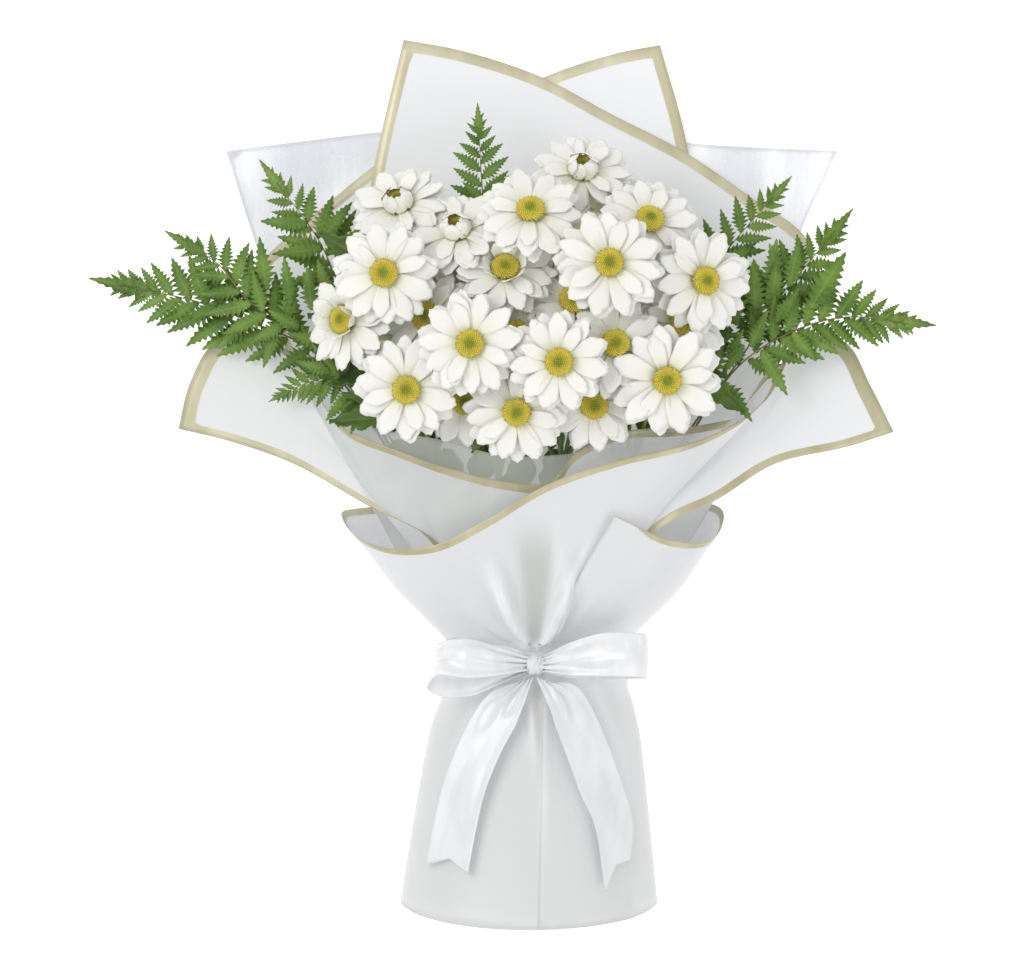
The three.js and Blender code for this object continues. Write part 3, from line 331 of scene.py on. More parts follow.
# %% How the wrap is tied: an oval neck, and an oval hem lower down
NECK_X, NECK_Z, NECK_HALF_WIDTH, NECK_HALF_HEIGHT = 14, 37, 56, 35
NECK_TOP, NECK_BOTTOM = -90, -112
HEM_X, HEM_Y, HEM_RISE, HEM_HALF_WIDTH, HEM_HALF_HEIGHT = 9.7, -254, 16, 73, 47
SKIRT_HALF_WIDTH, SKIRT_HALF_HEIGHT = 54, 36
SKIRT_FLARE = 0.85

# How far inside the outer sheet each sheet lies where they are tied; the flap lies outside it
FLAP, OUTER, INNER, CLEAR, LINER, RIGHT, LEFT = -3, 0, 2.4, 4, 6.6, 7, 9.6


def neck_point(angle, inset, y):
    """A point of the oval neck; the angle is 90 at the front."""
    x = NECK_X + (NECK_HALF_WIDTH - inset) * math.cos(math.radians(angle))
    z = NECK_Z + (NECK_HALF_HEIGHT - inset) * math.sin(math.radians(angle))
    return (x, y, z)


def skirt_size(s, inset):
    """Half width and height of the skirt; s runs from 0 below the tie to 1 at the hem."""
    flare = s**SKIRT_FLARE
    half_width = SKIRT_HALF_WIDTH + (HEM_HALF_WIDTH - SKIRT_HALF_WIDTH) * flare - inset
    height = SKIRT_HALF_HEIGHT + (HEM_HALF_HEIGHT - SKIRT_HALF_HEIGHT) * flare
    return half_width, height


def skirt_point(angle, inset, s):
    """A point of the skirt, whose hem dips lowest at the front."""
    half_width, height = skirt_size(s, inset)
    x = NECK_X + (HEM_X - NECK_X) * s + half_width * math.cos(math.radians(angle))
    z = height + (height - inset) * math.sin(math.radians(angle))
    hem = HEM_Y + HEM_RISE * (1 - max(0, math.sin(math.radians(angle))))
    return (x, NECK_BOTTOM + (hem - NECK_BOTTOM) * s, max(z, inset, 0))


# %% The sheets' columns: angle at the neck, inset there, points from the free edge down
OUTER_COLUMNS = [
    (86, FLAP, [(58.4, -18.2, 103.5), (45, -41, 95.5)]),
    (60, FLAP, [(90.9, -31.9, 99), (68, -62, 88)]),
    (35, FLAP, [(112.6, -31.9, 83), (90, -62, 71)]),
    (10, FLAP + 1, [(120, -22, 62), (97, -58, 53)]),
    (-15, FLAP + 2, [(118, -13, 40), (97, -50, 33)]),
    (-45, OUTER, [(95, -10, 12), (76, -50, 9)]),
    (-75, OUTER, [(62, -12, 0), (42, -50, 0.6)]),
    (-105, OUTER, [(-8, -12, 0), (-4, -50, 0.6)]),
    (-135, OUTER, [(-54, -12, 0.6), (-42, -50, 5)]),
    (-165, OUTER, [(-88, -14, 24), (-66, -50, 26)]),
    (-190, OUTER, [(-97, -17, 52), (-70, -54, 50)]),
    (-210, OUTER, [(-88, -30, 78), (-62, -60, 68)]),
    (-230, OUTER, [(-70, -36.5, 92), (-47, -62, 79)]),
    (-245, OUTER, [(-44.7, -34.8, 101), (-27, -62, 86)]),
    (-257, OUTER, [(-14, -20, 106), (-7, -58, 92)]),
    (-268, OUTER, [(20.2, 0, 108), (17, -52, 92)]),
    (-280, OUTER, [(61, 14, 107), (48, -30, 95), (30, -68, 82)]),
    (-292, OUTER, [(109.7, 26.2, 97), (86, -8, 90), (54, -52, 82)]),
    (-302, OUTER, [(144.5, 47.9, 79), (120, 22, 82), (92, -6, 86), (60, -50, 81)]),
    (-310, OUTER, [(166, 82, 60), (138, 50, 66), (108, 18, 76), (82, -12, 84), (60, -50, 79)]),
    (-316, OUTER, [(190, 81, 58), (155, 46, 66), (118, 12, 77), (89, -12, 84), (64, -48, 78)]),
    (-320, OUTER, [(205, 55.5, 59), (165, 30, 68), (121, 3, 79), (92, -16, 84), (67, -45, 77)]),
    (-324, OUTER, [
        (218, 29.6, 60), (191, 21, 65), (150, 11.4, 72),
        (117, -9, 81), (90, -22, 85), (68, -44, 77),
    ]),
]
INNER_COLUMNS = [
    (141, INNER, [
        (-190.7, 31.4, 56), (-159.9, 23.9, 61), (-124.5, 11.4, 68),
        (-82, -12.5, 79), (-42, -34, 88), (-32, -60, 76),
    ]),
    (137, INNER, [
        (-184, 58, 55), (-150, 40, 61), (-112, 16, 70),
        (-82, -5, 78), (-50, -32, 83), (-36, -58, 75),
    ]),
    (133, INNER, [
        (-168.4, 82.1, 55), (-142, 58, 61), (-112, 28, 70),
        (-84, 0, 77), (-54, -32, 80), (-36, -60, 74),
    ]),
    (128, INNER, [(-136, 82, 60), (-112, 42, 70), (-90, 6, 78), (-60, -32, 79), (-36, -62, 74)]),
    (119, INNER, [(-97.2, 33.1, 86), (-78, 0, 86), (-42, -52, 78)]),
    (109, INNER, [(-67.5, 20, 96), (-50, -15, 92), (-22, -58, 81)]),
    (98, INNER, [(-35.1, 8.6, 101), (-22, -25, 95), (-2, -62, 83)]),
    (88, INNER, [(-5, 1.5, 103), (2, -30, 96), (12, -64, 83)]),
    (77, INNER, [(22, 1, 102), (25, -28, 95), (24, -62, 83)]),
    (65, INNER, [(36, 18, 101), (37, -20, 94), (34, -60, 81)]),
    (51, INNER, [(62, 29.5, 97), (58, -5, 85), (44, -55, 74)]),
    (36, INNER, [(95, 31.5, 86), (84, 2, 74), (68, -34, 68), (54, -64, 64)]),
    (20, INNER, [(122, 36, 70), (106, 6, 66), (86, -28, 60), (68, -62, 55)]),
    (2, INNER, [(140, 40, 50), (122, 4, 50), (110, -20, 48), (82, -62, 41)]),
]
LINER_COLUMNS = [
    (148, LINER, [(-98, 36, 70), (-70, -15, 70), (-42, -60, 60)]),
    (128, LINER, [(-70, 30, 84), (-48, -15, 81), (-25, -60, 67)]),
    (110, LINER, [(-38, 24.5, 90), (-25, -15, 85), (-8, -60, 72)]),
    (90, LINER, [(-5, 16, 93), (2, -20, 87), (10, -60, 74)]),
    (70, LINER, [(27, 16.5, 93), (28, -20, 87), (26, -60, 73)]),
    (50, LINER, [(60, 21, 84), (54, -20, 74), (40, -60, 65)]),
    (28, LINER, [(96, 26, 66), (78, -16, 58), (57, -60, 52)]),
]
BACK_RIGHT_COLUMNS = [
    (172, RIGHT, [(-149.1, 122.6, 22), (-131, 80, 42), (-105, 30, 54), (-82, -10, 57), (-55, -60, 51)]),
    (200, RIGHT, [(-134.2, 137.4, 14), (-112, 80, 24), (-90, 20, 30), (-70, -20, 31), (-47, -60, 28)]),
    (225, RIGHT, [(-101.2, 165.3, 8), (-85, 80, 10), (-66, 0, 13), (-37, -60, 14)]),
    (250, RIGHT, [(-75.5, 185.3, 5), (-55, 80, 5.5), (-38, 0, 7), (-14, -60, 9.5)]),
    (270, RIGHT, [(-24.8, 212, 3.8), (-10, 80, 3.8), (0, 0, 5.5), (9, -60, 8.5)]),
    (290, RIGHT, [(19.1, 234.3, 3.8), (28, 80, 3.8), (30, 0, 5.5), (24, -60, 8.5)]),
    (305, RIGHT, [(59, 247.4, 3.8), (66, 80, 3.8), (55, 0, 6), (38, -60, 10)]),
    (318, RIGHT, [
        (85.2, 252.5, 3.8), (101.2, 192.1, 3.8), (108, 120, 4),
        (102, 60, 5), (76, 0, 9), (48, -60, 15),
    ]),
]
BACK_LEFT_COLUMNS = [
    (222, LEFT, [
        (-62.4, 255.4, 7.6), (-80.7, 173.9, 10), (-88, 100, 15.5),
        (-74, 20, 22), (-50, -30, 22), (-32, -60, 21),
    ]),
    (240, LEFT, [(-28.8, 249.1, 5.4), (-38, 100, 10), (-34, 0, 12), (-14, -60, 15)]),
    (262, LEFT, [(16.2, 234.3, 5), (5, 100, 7.6), (0, 0, 9.5), (7, -60, 12.5)]),
    (280, LEFT, [(56.1, 213.2, 5), (42, 100, 7.6), (28, 0, 9.5), (22, -60, 12.5)]),
    (298, LEFT, [(98.9, 191, 8), (80, 100, 8.5), (56, 0, 11.5), (36, -60, 15)]),
    (318, LEFT, [(134.8, 166.4, 11), (118, 90, 17), (84, 0, 20), (49, -60, 20)]),
    (342, LEFT, [(169, 140.8, 20), (142, 80, 32), (101, 0, 37), (61, -60, 34)]),
    (368, LEFT, [(174, 108, 40), (145, 58, 53), (104, 0, 54), (64, -60, 48)]),
]
CLEAR_COLUMNS = [
    (225, CLEAR, [
        (-164.4, 191.5, 0), (-147.3, 137.4, 0), (-118, 60, 0),
        (-66, 6, 0), (-38, -10, 2.6), (-20, -60, 7.5),
    ]),
    (242, CLEAR, [(-81.8, 201.8, 0), (-60, 60, 0), (-36, 6, 0), (-22, -10, 2.4), (-10, -60, 6.5)]),
    (258, CLEAR, [(-20, 207, 0), (-10, 60, 0), (0, 6, 0), (1, -10, 2.2), (6, -60, 6)]),
    (282, CLEAR, [(45, 205, 0), (35, 60, 0), (28, 6, 0), (27, -10, 2.2), (23, -60, 6)]),
    (298, CLEAR, [(101.7, 196.1, 0), (90, 60, 0), (56, 6, 0), (46, -10, 2.4), (35, -60, 6.5)]),
    (315, CLEAR, [
        (187.2, 191.5, 0), (167.3, 148.2, 0), (135, 60, 0),
        (84, 6, 0), (58, -10, 2.6), (44, -60, 7.5),
    ]),
]


# %% A sheet's grid
CONE_STEPS, NECK_STEPS, SKIRT_STEPS, COLUMN_STEPS = 56, 7, 26, 9
SETTLE_RATE, SETTLED = 5, 0.16  # below the tie the flap sinks onto the sheet under it
TIE_PINCH, TIE_REACH = 0.11, 24  # the ribbon draws the film in by this share, over so many mm
TIE_X, TIE_Y = 12.3, (NECK_TOP + NECK_BOTTOM) / 2


def drawn_in(x, y):
    """Where a point of the wrap stands once the ribbon is pulled tight."""
    return TIE_X + (x - TIE_X) * (1 - TIE_PINCH * np.exp(-(((y - TIE_Y) / TIE_REACH) ** 2)))


def sheet_grid(columns, skirt_end):
    """Points of a sheet in rows from its free edge down; skirt_end is the share of the skirt it reaches."""
    lines = []
    for angle, inset, path in columns:
        cone = evenly(through([*path, neck_point(angle, inset, NECK_TOP)]), np.linspace(0, 1, CONE_STEPS))
        heights = np.linspace(NECK_TOP, NECK_BOTTOM, NECK_STEPS + 1)[1:]
        neck = [neck_point(angle, inset, y) for y in heights]
        shares = np.linspace(0, skirt_end, SKIRT_STEPS + 1)[1:]
        insets = [max(inset, inset * max(SETTLED, 1 - SETTLE_RATE * s)) for s in shares]
        skirt = [skirt_point(angle, settled, s) for settled, s in zip(insets, shares)]
        lines.append(np.vstack([cone, neck, skirt]))
    lines = np.array(lines)
    grid = np.array([through(lines[:, row], COLUMN_STEPS) for row in range(lines.shape[1])])
    grid[:, :, 0] = drawn_in(grid[:, :, 0], grid[:, :, 1])
    grid[:, :, 2] = np.maximum(grid[:, :, 2], 0)
    return grid


def grid_normals(grid):
    """The way out of the wrap at each point of a sheet."""
    along = np.gradient(grid, axis=0)
    across = np.gradient(grid, axis=1)
    normals = np.cross(across, along)
    normals /= np.maximum(np.linalg.norm(normals, axis=2, keepdims=True), 1e-9)
    neck_row = normals[CONE_STEPS + 1]
    outward = grid[CONE_STEPS + 1] - np.array([NECK_X, grid[CONE_STEPS + 1][0][1], NECK_Z])
    return normals if (neck_row * outward).sum() > 0 else -normals


# %% [markdown]
# The film is never quite smooth. The tie gathers it into pleats that stand up beside the knot and die
# out towards the rim, and all over it has slow, shallow waves. Both only lift the film outwards, so
# that no sheet passes through the one inside it.


# %% Pleats and waves
def smooth(value, low, high):
    """A soft step from 0 at low to 1 at high."""
    t = np.clip((value - low) / (high - low), 0, 1)
    return t * t * (3 - 2 * t)


def pleats(grid, crests):
    """Height in mm of the pleats on the front. Each crest is drawn in plan, away from the tie."""
    x, y, z = np.moveaxis(grid, 2, 0)
    front = smooth(z, NECK_Z, NECK_Z + 15)
    lift = np.zeros(x.shape)
    for crest, height, (narrow, wide) in crests:
        line = np.array(sorted(crest, key=lambda point: point[1]), float)
        away = np.abs(line[:, 1] - TIE_Y)
        reach = away.max()
        off = x - np.interp(y, line[:, 1], line[:, 0])
        same_side = np.sign(line[:, 1].mean() - TIE_Y) * (y - TIE_Y)
        share = np.clip((same_side - away.min()) / (reach - away.min()), 0, 1)
        width = narrow + (wide - narrow) * share
        along = smooth(same_side, away.min() - 10, away.min() + 10)
        along = along * (1 - smooth(same_side, 0.45 * reach, reach))
        lift += height * along * front * np.exp(-((off / width) ** 2))
    return lift


def waves(grid, height, size, seed):
    """Slow waves, in mm, that fade at the tie."""
    rows, columns, _ = grid.shape
    lift = np.zeros((rows, columns))
    for r in range(rows):
        for c in range(columns):
            x, y, z = grid[r, c]
            value = noise.noise(Vector((x / size + seed, y / (2.2 * size), z / size)))
            calm = min(1, abs(y - TIE_Y) / 40)
            lift[r, c] = height * (0.5 + 0.5 * value) * calm
    return lift


# %% A sheet as a piece
FILM_THICKNESS = 0.2
SMALLEST_SHARE = 0.32  # of its rectangle that a sheet still fills; its points reach out further


def run_from(grid, axis):
    """Distance walked over a grid along one of its axes, from its start, in mm."""
    steps = np.linalg.norm(np.diff(grid, axis=axis), axis=2)
    walked = np.cumsum(steps, axis=axis)
    return np.concatenate([np.zeros_like(np.take(walked, [0], axis=axis)), walked], axis=axis)


def border(grid, band, sides):
    """How deep each point lies in the film, counted in widths of the gold band: under 1 is gold."""
    shares = np.linspace(0, 1, grid.shape[1])
    widths = np.interp(shares, [b[0] for b in band], [b[1] for b in band])
    depth = run_from(grid, 0) / widths[None, :]
    walked = run_from(grid, 1)
    if sides[0]:
        depth = np.minimum(depth, walked / sides[0])
    if sides[1]:
        depth = np.minimum(depth, (walked[:, -1:] - walked) / sides[1])
    return depth


def sheet_piece(name, node, grid, depth, material, layers=None):
    """A sheet of film from its grid; its cut size is measured along the surface and printed."""
    # layers carries the film's painted shade and painted highlight: 0.5 is plain film
    layers = np.full(depth.shape, 0.5) if layers is None else layers
    rows, columns, _ = grid.shape
    bm = bmesh.new()
    border_layer = bm.verts.layers.float.new("border")
    painted_light_layer = bm.verts.layers.float.new("layers")
    bmesh.ops.create_grid(bm, x_segments=columns - 1, y_segments=rows - 1, size=0.5)
    for v in bm.verts:
        c = round((v.co.x + 0.5) * (columns - 1))
        r = round((0.5 - v.co.y) * (rows - 1))
        v.co = Vector(grid[r, c]) * MM
        v[border_layer] = depth[r, c]
        v[painted_light_layer] = layers[r, c]
    bm.normal_update()
    middle = Vector((NECK_X, NECK_TOP, NECK_Z)) * MM
    around = [f for f in bm.faces if abs(f.calc_center_median().y - NECK_TOP * MM) < 6 * MM]
    if sum(f.normal.dot(f.calc_center_median() - middle) for f in around) < 0:
        bmesh.ops.reverse_faces(bm, faces=bm.faces[:])
    area = sum(f.calc_area() for f in bm.faces)
    piece = finished(bm, name, material, [node])
    thicken(piece, FILM_THICKNESS, -1)
    width = run_from(grid, 1)[:, -1].max() * MM
    length = run_from(grid, 0)[-1].max() * MM
    width = min(width, area / (SMALLEST_SHARE * length))
    print(name, "cut", round(width, 3), "x", round(length, 3), "m, area", round(area, 4), "m2")


# %% [markdown]
# Frosted film is a milky plastic that lets some light and colour through, with a champagne gold band
# printed along its free edges; it also has a painted glow in place of light passing through it. The
# band is found from the depth that each point carries. The tone each point carries is painted light:
# painted shade in the valleys between the pleats and on the skirt, a painted highlight on the folds,
# where the film also lies doubled, and painted light on the wings. The clear film has no band: it is
# glossy and crinkled, and mostly shows what lies under it, with painted reflection streaks and a
# painted line along its cut edges.

# %% Film materials
# One frosted film in lit and shaded copies: the inside sheet and the lining are painted darker as shade, the
# lining also greener, and the back sheets and their gold are painted lighter.
FROST = (0.62, 0.628, 0.643)
FROST_INSIDE_PAINTED_SHADE = (0.55, 0.572, 0.565)
FROST_BACK_PAINTED_LIGHTER = (0.79, 0.80, 0.825)
LINING_PAINTED_SHADE = (0.52, 0.56, 0.48)
# painted shade and painted highlight: the film's tone in the valleys and on the folds
THIN_PAINTED_SHADE, DOUBLED_PAINTED_HIGHLIGHT = (0.42, 0.43, 0.405), (0.83, 0.835, 0.85)
PAINTED_GLOW = 0.15  # painted glow: the film emits this much light of its own, standing in for light that passes through it
GOLDS = (0.45, 0.41, 0.235), (0.57, 0.525, 0.335)
BACK_GOLDS_PAINTED_LIGHTER = (0.62, 0.565, 0.37), (0.75, 0.70, 0.50)


def frosted(name, opacity, tint=FROST, gold_cover=0.94, golds=GOLDS):
    """Milky film that covers by its opacity, with its gold band where the border is under 1 deep, a painted
    glow, and painted shade and highlight from the tone each point carries.
    """
    material = new_material(name, Roughness=0.4, IOR=1.45, Emission_Color=(1, 1, 1, 1))
    edge = remap(material, carried(material, "border"), 0.96, 1.04, 1.0, 0.0)
    streaks = fine_noise(material, 60, (1, 0.3, 1))
    gold = ramp(material, streaks, [(0.38, golds[0]), (0.66, golds[1])])
    # the film's tone: painted shade towards 0, painted highlight and doubled film towards 1
    plastic = ramp(material, carried(material, "layers"), [(0, THIN_PAINTED_SHADE), (0.5, tint), (1, DOUBLED_PAINTED_HIGHLIGHT)])
    plug(material, blend_colours(material, edge, plastic, gold), "Base Color")
    # painted glow: the film emits light to lift its shaded parts, less on the gold band
    plug(material, remap(material, edge, 0.0, 1.0, PAINTED_GLOW, PAINTED_GLOW / 5), "Emission Strength")
    metal = add_node(material, "ShaderNodeMath", {0: edge, 1: 0.15}, operation="MULTIPLY").outputs[0]
    plug(material, metal, "Metallic")
    milk = fine_noise(material, 14, (1, 0.5, 1), detail=2)
    body = remap(material, milk, 0.3, 0.7, opacity - 0.05, opacity + 0.05)
    cover = add_node(material, "ShaderNodeMix", {"Factor": edge, 2: body, 3: gold_cover}).outputs[0]
    plug(material, cover, "Alpha")
    bump(material, fine_noise(material, 40, detail=4), 0.5 * MM, 0.22)
    return material


film_front = frosted("frosted_film", 0.82)
film_inside = frosted("frosted_film_inside", 0.58, FROST_INSIDE_PAINTED_SHADE, 0.72)
film_lining = frosted("frosted_film_lining", 0.42, LINING_PAINTED_SHADE)
film_back = frosted("frosted_film_back", 0.88, FROST_BACK_PAINTED_LIGHTER, golds=BACK_GOLDS_PAINTED_LIGHTER)

# %% Clear film: mostly seen by painted reflection streaks, its bumped creases and a painted line along its cut edges
CREASES_PER_METRE = 30
clear_material = new_material("clear_film", Roughness=0.15, IOR=1.45)
# painted edge line: the cut edge is more opaque, standing in for light caught there
painted_edge_line = remap(clear_material, carried(clear_material, "border"), 0.1, 1.2, 0.2, 0.0)
# painted reflection: long streaks make the film lighter and more opaque along them
painted_reflection_streaks = fine_noise(clear_material, 26, (1, 0.28, 1), detail=5)
painted_reflection_haze = remap(clear_material, painted_reflection_streaks, 0.36, 0.66, 0.12, 0.5)
seen = add_node(clear_material, "ShaderNodeMath", {0: painted_reflection_haze, 1: painted_edge_line}, operation="ADD").outputs[0]
plug(clear_material, seen, "Alpha")
painted_reflection_tone = ramp(clear_material, painted_reflection_streaks, [(0.4, (0.66, 0.69, 0.76)), (0.7, (0.86, 0.88, 0.93))])
plug(clear_material, painted_reflection_tone, "Base Color")
spot = add_node(clear_material, "ShaderNodeTexCoord").outputs["Object"]
crease_inputs = {"Vector": spot, "Scale": CREASES_PER_METRE}
creases = add_node(clear_material, "ShaderNodeTexVoronoi", crease_inputs, feature="DISTANCE_TO_EDGE")
bump(clear_material, creases.outputs["Distance"], 3 * MM, 0.6)

# %% The outer sheet: its pleats as crest in plan, height and half widths in mm
OUTER_PLEATS = [
    ([(10.5, -91), (1, -77.5), (-5.3, -60.4), (-15, -30)], 13.0, (2.8, 7)),
    ([(15, -91), (25.3, -77.5), (29.6, -60.4), (32.5, -25)], 13.0, (2.6, 6)),
    ([(19, -91), (34, -80), (44, -66), (52, -52)], 3.0, (3.0, 5)),
    ([(2, -91), (-14, -80), (-26, -66), (-34, -52)], 2.4, (3.5, 7)),
    ([(9, -112), (12, -135), (13.5, -165)], 3.2, (2.2, 4)),
    ([(18, -112), (17.4, -150), (17.2, -200)], 2.2, (2.4, 6)),
    ([(-8, -112), (-22, -150), (-30, -230)], 2.4, (4, 12)),
    ([(34, -112), (44, -150), (52, -230)], 2.4, (4, 12)),
]
outer_grid = sheet_grid(OUTER_COLUMNS, 1.0)
outer_lift = pleats(outer_grid, OUTER_PLEATS) + waves(outer_grid, 1.6, 34, 3.1)
outer_grid = outer_grid + grid_normals(outer_grid) * outer_lift[:, :, None]
outer_grid[:, :, 2] = np.maximum(outer_grid[:, :, 2], 0)

# The gold band's width in mm, as (share of the way from the first column to the last, width)
OUTER_BAND = [(0, 0.3), (0.014, 0.3), (0.03, 3.6), (0.1, 4.3), (0.76, 4.6), (0.86, 8.2), (1, 8.6)]
SIDE_BAND = 4.6  # along a sheet's cut side
outer_depth = border(outer_grid, OUTER_BAND, (0, SIDE_BAND))


# %% Folds painted lighter on the outer film, partly where it lies doubled and partly as painted highlight: line in plan from the tie, strength, half widths in mm
DOUBLED_FOLDS_PAINTED_HIGHLIGHT = [
    ([(7.5, -93), (0.3, -80), (-5.6, -68), (-11.6, -53), (-16, -36)], 0.42, (2.0, 5)),
    ([(16, -93), (25.6, -75), (33, -56), (42, -38), (54, -19)], 0.42, (2.0, 4.5)),
    ([(19, -84), (25, -62), (25.5, -40), (24.5, -4)], 0.22, (2.0, 5)),
    ([(7, -113), (11, -140), (15, -172)], 0.3, (1.2, 2.6)),
    ([(20, -113), (18.4, -150), (17.4, -225)], 0.3, (1.4, 3)),
    ([(-20, -118), (-30, -150), (-34, -200)], 0.16, (3, 8)),
    ([(48, -118), (60, -150), (66, -200)], 0.16, (3, 8)),
]


# Where the valley between the main pleats, and the one below the tie, are painted darker as shade
VALLEY_X, VALLEY_LENGTH = 12.6, 75
BELOW_X, BELOW_HALF_WIDTH = 15.5, 3.5


def film_layers_painted_light(grid):
    """0.5 is plain film; less is painted shade in the valley between the main pleats, below the tie and on
    the skirt; more is a fold, partly doubled film and partly painted highlight, and painted light on the
    wing.
    """
    x, y, z = np.moveaxis(grid, 2, 0)
    up = np.clip((y - NECK_TOP) / VALLEY_LENGTH, 0, 1)
    valley = np.exp(-(((x - VALLEY_X - 2 * up) / (3.2 + 12 * up)) ** 4))
    valley = valley * smooth(y, NECK_TOP - 4, NECK_TOP + 4)
    valley = valley * (1 - smooth(up, 0.55, 1))
    below = np.exp(-(((x - BELOW_X) / BELOW_HALF_WIDTH) ** 2)) * smooth(-y, -NECK_BOTTOM, -NECK_BOTTOM + 8)
    below = below * (1 - smooth(-y, 140, 185))
    folds = np.zeros(x.shape)
    for line, strength, (narrow, wide) in DOUBLED_FOLDS_PAINTED_HIGHLIGHT:
        path = np.array(line, float)
        start, end = path[0, 1], path[-1, 1]
        share = (y - start) / (end - start)
        ends = smooth(share * abs(end - start), -3, 0) * (1 - smooth(share, 0.5, 1))
        path = path[np.argsort(path[:, 1])]
        off = (x - np.interp(y, path[:, 1], path[:, 0])) / (narrow + (wide - narrow) * np.clip(share, 0, 1))
        folds = np.maximum(folds, strength * ends * np.exp(-(off**2)))
    # painted light: the wings are painted lighter
    wing = 0.2 * smooth(x, 100, 150)
    # painted shade: the skirt is painted darker
    skirt = 0.14 * smooth(-y, -NECK_BOTTOM, -NECK_BOTTOM + 20)
    return 0.5 + (z > NECK_Z) * (folds - 0.48 * valley - 0.3 * below) + wing - skirt


sheet_piece(
    "outer_film",
    "outer_sheet",
    outer_grid,
    outer_depth,
    film_front,
    film_layers_painted_light(outer_grid),
)

# %% The inner sheet and the lining
INNER_END = 0.93  # the sheets inside the outer one stop short of the hem
INNER_BAND = [(0, 8.6), (0.25, 8.6), (0.35, 5.4), (1, 5.0)]
PLAIN = 9.0  # deep in the film, where there is no gold

inner_grid = sheet_grid(INNER_COLUMNS, INNER_END)
inner_depth = border(inner_grid, INNER_BAND, (SIDE_BAND, 0))
sheet_piece("inner_film", "inner_sheet", inner_grid, inner_depth, film_inside)

liner_grid = sheet_grid(LINER_COLUMNS, INNER_END)
no_band = np.full(liner_grid.shape[:2], PLAIN)
sheet_piece("liner_film", "liner_sheet", liner_grid, no_band, film_lining)

# %% The two sheets behind the flowers and the clear one under all
BACK_BAND, BAND_ENDS = 6.4, 26  # the band stops where the sheet goes into the cone
for name, node, columns, lies_on in (
    ("back_film_right", "back_sheet_right", BACK_RIGHT_COLUMNS, "clear_back_film"),
    ("back_film_left", "back_sheet_left", BACK_LEFT_COLUMNS, "back_film_right"),
):
    grid = sheet_grid(columns, INNER_END)
    depth = border(grid, [(0, BACK_BAND), (1, BACK_BAND)], (BACK_BAND, BACK_BAND))
    depth[grid[:, :, 1] < BAND_ENDS] = PLAIN
    sheet_piece(name, node, grid, depth, film_back)

CLEAR_WAVE, CLEAR_WAVE_SIZE, CLEAR_EDGE = 2.6, 13, 2.0
clear_grid = sheet_grid(CLEAR_COLUMNS, INNER_END)
clear_depth = border(clear_grid, [(0, CLEAR_EDGE), (1, CLEAR_EDGE)], (CLEAR_EDGE, CLEAR_EDGE))
crinkles = waves(clear_grid, CLEAR_WAVE, CLEAR_WAVE_SIZE, 7.7)
clear_grid[:, :, 2] += smooth(clear_grid[:, :, 1], 20, 90) * crinkles
sheet_piece(
    "clear_back_film",
    "clear_film",
    clear_grid,
    clear_depth,
    clear_material,
)

# %% [markdown]
# ## Ribbon
# The bow is tied from one satin ribbon 25 mm wide: a band round the neck, a small hard knot, two
# loops and two tails cut to swallow tails. Satin shines along its threads and is pinched into fine
# folds where it enters the knot.

# %% Satin
def satin_material(name, dull, bright):
    """Satin with fine threads along the ribbon and slubs across it."""
    material = new_material(name, Roughness=0.27, Sheen_Weight=0.15, Specular_IOR_Level=0.7)
    threads = fine_noise(material, 500, (1, 9, 1), detail=2)
    slubs = fine_noise(material, 120, (1, 0.3, 1), detail=2)
    plug(material, ramp(material, slubs, [(0.35, dull), (0.65, bright)]), "Base Color")
    bump(material, threads, 0.08 * MM, 0.35)
    return material


# One satin in two copies: the loops are painted lighter than the band, knot and tails.
satin = satin_material("satin", (0.71, 0.715, 0.735), (0.77, 0.775, 0.79))
loop_satin_painted_lighter = satin_material("satin_loops_painted_lighter", (0.775, 0.78, 0.797), (0.845, 0.85, 0.865))

# %% Ribbon stations in mm: the middle of the strip, and half its width as a vector
RIBBON_THICKNESS = 0.35
LOOP_LEFT = [
    ((9.4, -103, 80.5), (0, 4.2, 0)),
    ((-8, -106, 81), (0.5, 9, 0)),
    ((-22, -109, 82.5), (1, 12, 0)),
    ((-36, -109.5, 84.5), (2, 12.3, 0)),
    ((-44.5, -104.5, 91), (3, 12.4, 0.5)),
    ((-40, -99.5, 98.5), (1.5, 9.5, -6.5)),
    ((-26, -99.5, 102.5), (1, 11, -5)),
    ((-9, -101, 97.5), (0.5, 8.5, -2)),
    ((8.8, -102.5, 85), (0, 4, 0)),
]
LOOP_RIGHT = [
    ((16.2, -103, 80.5), (0, 4.2, 0)),
    ((34, -102, 81.5), (-0.5, 9, 0)),
    ((55, -99, 82.5), (-0.5, 12.4, 0)),
    ((71, -98.5, 84), (0, 12.5, 0)),
    ((77.5, -98, 91), (0, 12.6, 0)),
    ((72, -97.5, 98.5), (0, 12.6, 0)),
    ((55, -97, 102), (-0.6, 12.6, 0)),
    ((34, -99.5, 97), (-0.5, 9.5, 0)),
    ((16.8, -102.5, 85), (0, 4, 0)),
]
TAIL_LEFT = [
    ((8.2, -111.5), (4, 1.5)),
    ((-1, -121), (8.2, -4.8)),
    ((-8.5, -132.5), (10.5, -6.2)),
    ((-17, -148), (11.3, -4.9)),
    ((-26, -170), (11.7, -3.8)),
    ((-31.5, -192), (12, -2.9)),
    ((-37, -220), (12.3, -2.3)),
]
TAIL_RIGHT = [
    ((17.6, -111.5), (4, -1.5)),
    ((29, -121), (8.5, 5.3)),
    ((36, -135), (10.9, 4.9)),
    ((42, -150), (11.5, 4.4)),
    ((50, -172), (11.6, 4.1)),
    ((57.5, -193), (10.8, 2.3)),
    ((60, -223.5), (7.4, 8.8)),
]
TAIL_NOTCH = 6.5
TAIL_CLEARANCE, TAIL_FLOOR = 3.2, 79  # over the skirt, and the lowest height near the tie
FULL_HALF_WIDTH = 12.5


